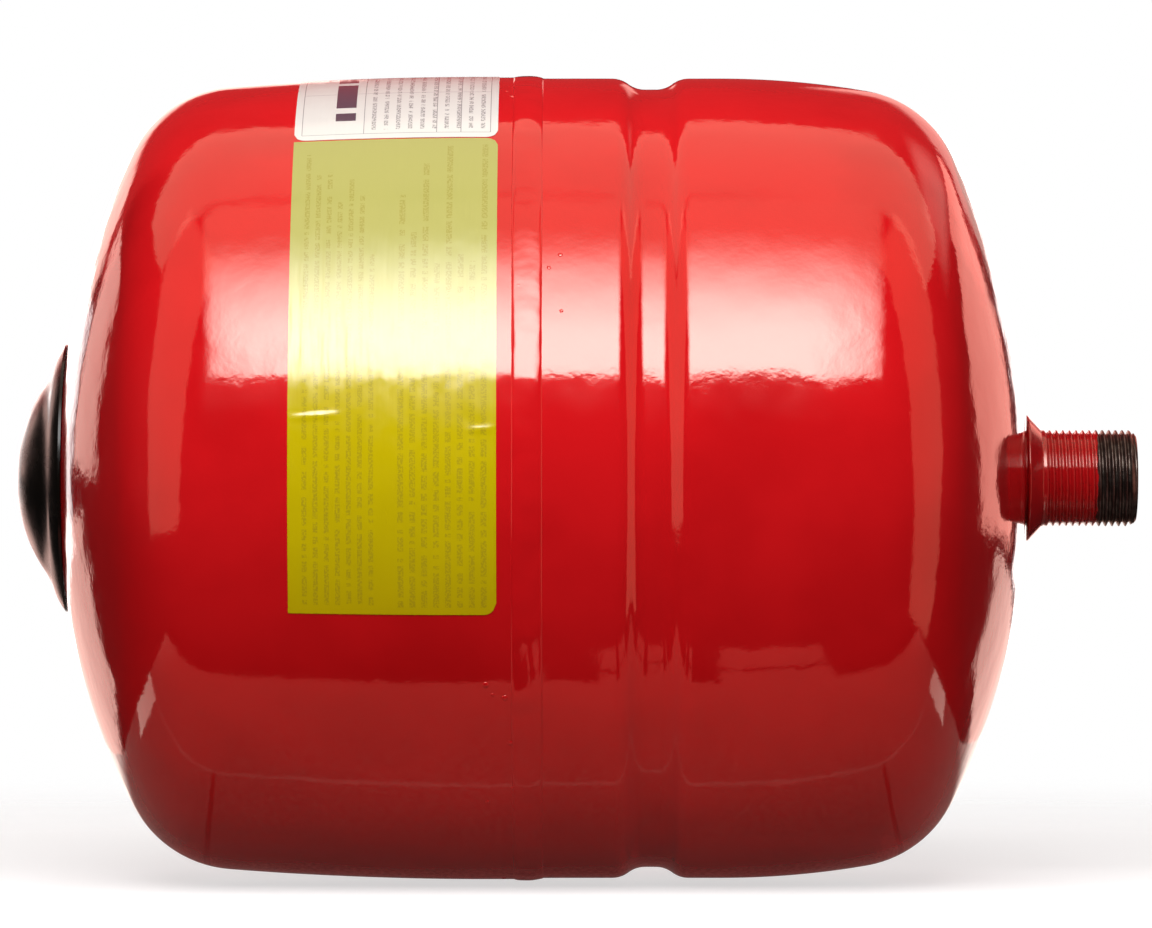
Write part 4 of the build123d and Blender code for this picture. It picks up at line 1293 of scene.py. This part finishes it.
def floor():
    """Pale round floor that fades out into the white surroundings."""
    radius, rings, sides = 0.75, 24, 96
    vertices, faces = [(0.0, 0.0, 0.0)], [(0, 1 + at, 1 + (at + 1) % sides) for at in range(sides)]
    for ring in range(1, rings + 1):
        reach = radius * ring / rings
        vertices += [(reach * cos(turn), reach * sin(turn), 0) for turn in unit_ring(sides)[0]]
        if ring > 1:
            faces += band(1 + (ring - 1) * sides, 1 + (ring - 2) * sides, sides)
    shader = Shader("pale_floor", (0.40, 0.40, 0.40), 0.8, Specular_IOR_Level=0.1, Emission_Strength=0.62)
    shader.set("Base Color", shader.mix(shader.noise(4, 2.0), (0.39, 0.39, 0.385), (0.41, 0.41, 0.41)))
    shader.set("Emission Color", (1.0, 1.0, 1.0))
    reach = shader.node("ShaderNodeVectorMath", {0: shader.place()}, operation="LENGTH").outputs["Value"]
    shader.set("Alpha", shader.between(reach, radius * 0.35, radius * 0.95, 1.0, 0.0))
    disc = plate("floor", vertices, faces, shader.material, 0.0002)
    disc.visible_diffuse = False
    disc.visible_glossy = False
    disc.visible_shadow = False


# The table, in metres: along X from the vessel's middle, and along Y from its axis.
TABLE_X, TABLE_Y = (-0.205, 0.195), (-0.157, 1.5)
LIT_FROM_Y = -0.130                 # the table is dark in front of this, but for the lit strips
LIT_STRIPS_X = ((-0.014, -0.009), (0.006, 0.022), (0.039, 0.084))
DARK_LINE_Y = (-0.1405, -0.1378)
SHEET_FRONT_Y = -0.0704             # a paper sheet lies on the table from here back
# The sheet's left and right edges are drawn as thin dark lines: painted shadow.
SHEET_SHADOW_LINES_X = (-0.103, 0.094)
CORNER_X, CORNER_Y = (0.172, 0.20), (-0.070, -0.018)   # bright squares, the same to the left and right
WARM_WHITE = (1.0, 0.84, 0.76)
RED_BOUNCE = (0.6, 0.03, 0.02)      # the vessel's own red, thrown back by the table


def lit_area(shader, across, deep):
    """1 on the part of the table that catches the light, with a ragged front."""
    ragged = shader.math("ADD", deep, shader.math("MULTIPLY_ADD", shader.noise(120, 2.0), 0.006, -0.003))
    lit = shader.math("GREATER_THAN", ragged, LIT_FROM_Y)
    for start, end in LIT_STRIPS_X:
        lit = shader.math("MAXIMUM", lit, shader.inside(across, start, end))
    return shader.math("SUBTRACT", lit, shader.inside(ragged, *DARK_LINE_Y), clamp=True)


def table_glow(shader, across, deep):
    """Light that the table sends up: warm all round, the bright sheet edge and squares, and red in front."""
    scale = (1 / 0.17, 1 / 0.15, 1)
    where = shader.node("ShaderNodeMapping", {"Vector": shader.place(), "Scale": scale}).outputs[0]
    beyond = shader.node("ShaderNodeVectorMath", {0: where}, operation="LENGTH").outputs["Value"]
    glow = shader.between(beyond, 1.2, 2.3, 0.05, 1.45)
    edge = shader.inside(deep, SHEET_FRONT_Y - 0.0008, SHEET_FRONT_Y + 0.0008)
    aside = shader.math("ABSOLUTE", shader.math("ADD", across, 0.005))
    corners = shader.times(shader.inside(aside, *CORNER_X), shader.inside(deep, *CORNER_Y))
    glow = shader.math("MULTIPLY_ADD", edge, 0.16, glow)
    glow = shader.math("MULTIPLY_ADD", corners, 1.5, glow)
    bounce = shader.between(deep, LIT_FROM_Y, SHEET_FRONT_Y + 0.02, 1.0, 0.0)
    warm, red = (
        shader.node("ShaderNodeVectorMath", {0: colour, "Scale": share}, operation="SCALE").outputs[0]
        for colour, share in ((WARM_WHITE, glow), (RED_BOUNCE, bounce))
    )
    return shader.node("ShaderNodeVectorMath", {0: warm, 1: red}).outputs[0]


def table():
    """Table that the vessel reflects and is lit by from below, with a paper sheet on it."""
    steps = 12
    xs, ys = (np.linspace(*ends, steps + 1) for ends in (TABLE_X, TABLE_Y))
    vertices = [(x, y, 0) for y in ys for x in xs]
    starts = [row * (steps + 1) + column for row in range(steps) for column in range(steps)]
    faces = [(low, low + 1, low + steps + 2, low + steps + 1) for low in starts]
    shader = Shader("white_table", (0.15, 0.15, 0.15), 0.7, Specular_IOR_Level=0.1)
    across, deep = (shader.axis(shader.place(), letter) for letter in "XY")
    lit = lit_area(shader, across, deep)
    # Painted shadow: thin dark lines along the sheet's sides.
    sides = ruled(shader, across, SHEET_SHADOW_LINES_X, 0.0024)
    sides = shader.times(sides, shader.inside(deep, SHEET_FRONT_Y, 1.0))
    dark = shader.math("MAXIMUM", sides, shader.math("SUBTRACT", 1.0, lit))
    paper = shader.mix(shader.cloud(650, 2.0, 0.35, 0.65), (0.07, 0.052, 0.046), (0.20, 0.145, 0.125))
    shader.set("Base Color", shader.mix(dark, paper, (0.0, 0.0, 0.0)))
    shader.set("Emission Color", table_glow(shader, across, deep))
    shader.set("Emission Strength", lit)
    sheet = plate("table", vertices, faces, shader.material, 0.0004)
    sheet.visible_camera = False
    sheet.visible_shadow = False


def surroundings():
    """White behind the vessel, and a dim room for what it reflects."""
    scene = bpy.context.scene
    scene.world = bpy.data.worlds.new("studio")
    scene.world.use_nodes = True
    nodes = Nodes(scene.world.node_tree)
    seen = nodes.node("ShaderNodeLightPath").outputs["Is Camera Ray"]
    shade = nodes.node("ShaderNodeMapRange", {"Value": seen, "To Min": 0.014, "To Max": 1.0}).outputs[0]
    background = nodes.tree.nodes["Background"].inputs
    nodes.plug(background["Strength"], shade)
    nodes.plug(background["Color"], (1.0, 1.0, 1.0))
    scene.view_settings.view_transform = "Standard"
    scene.cycles.use_denoising = True


for build in (
    camera, surroundings, surface_lights, reflections, floor, table, shells, seam_weld, weld_spatter, nipple,
    nipple_weld, labels, protective_cap, valve_stem, dust_cap, core_spring, diaphragm, carried_over,
):
    build()
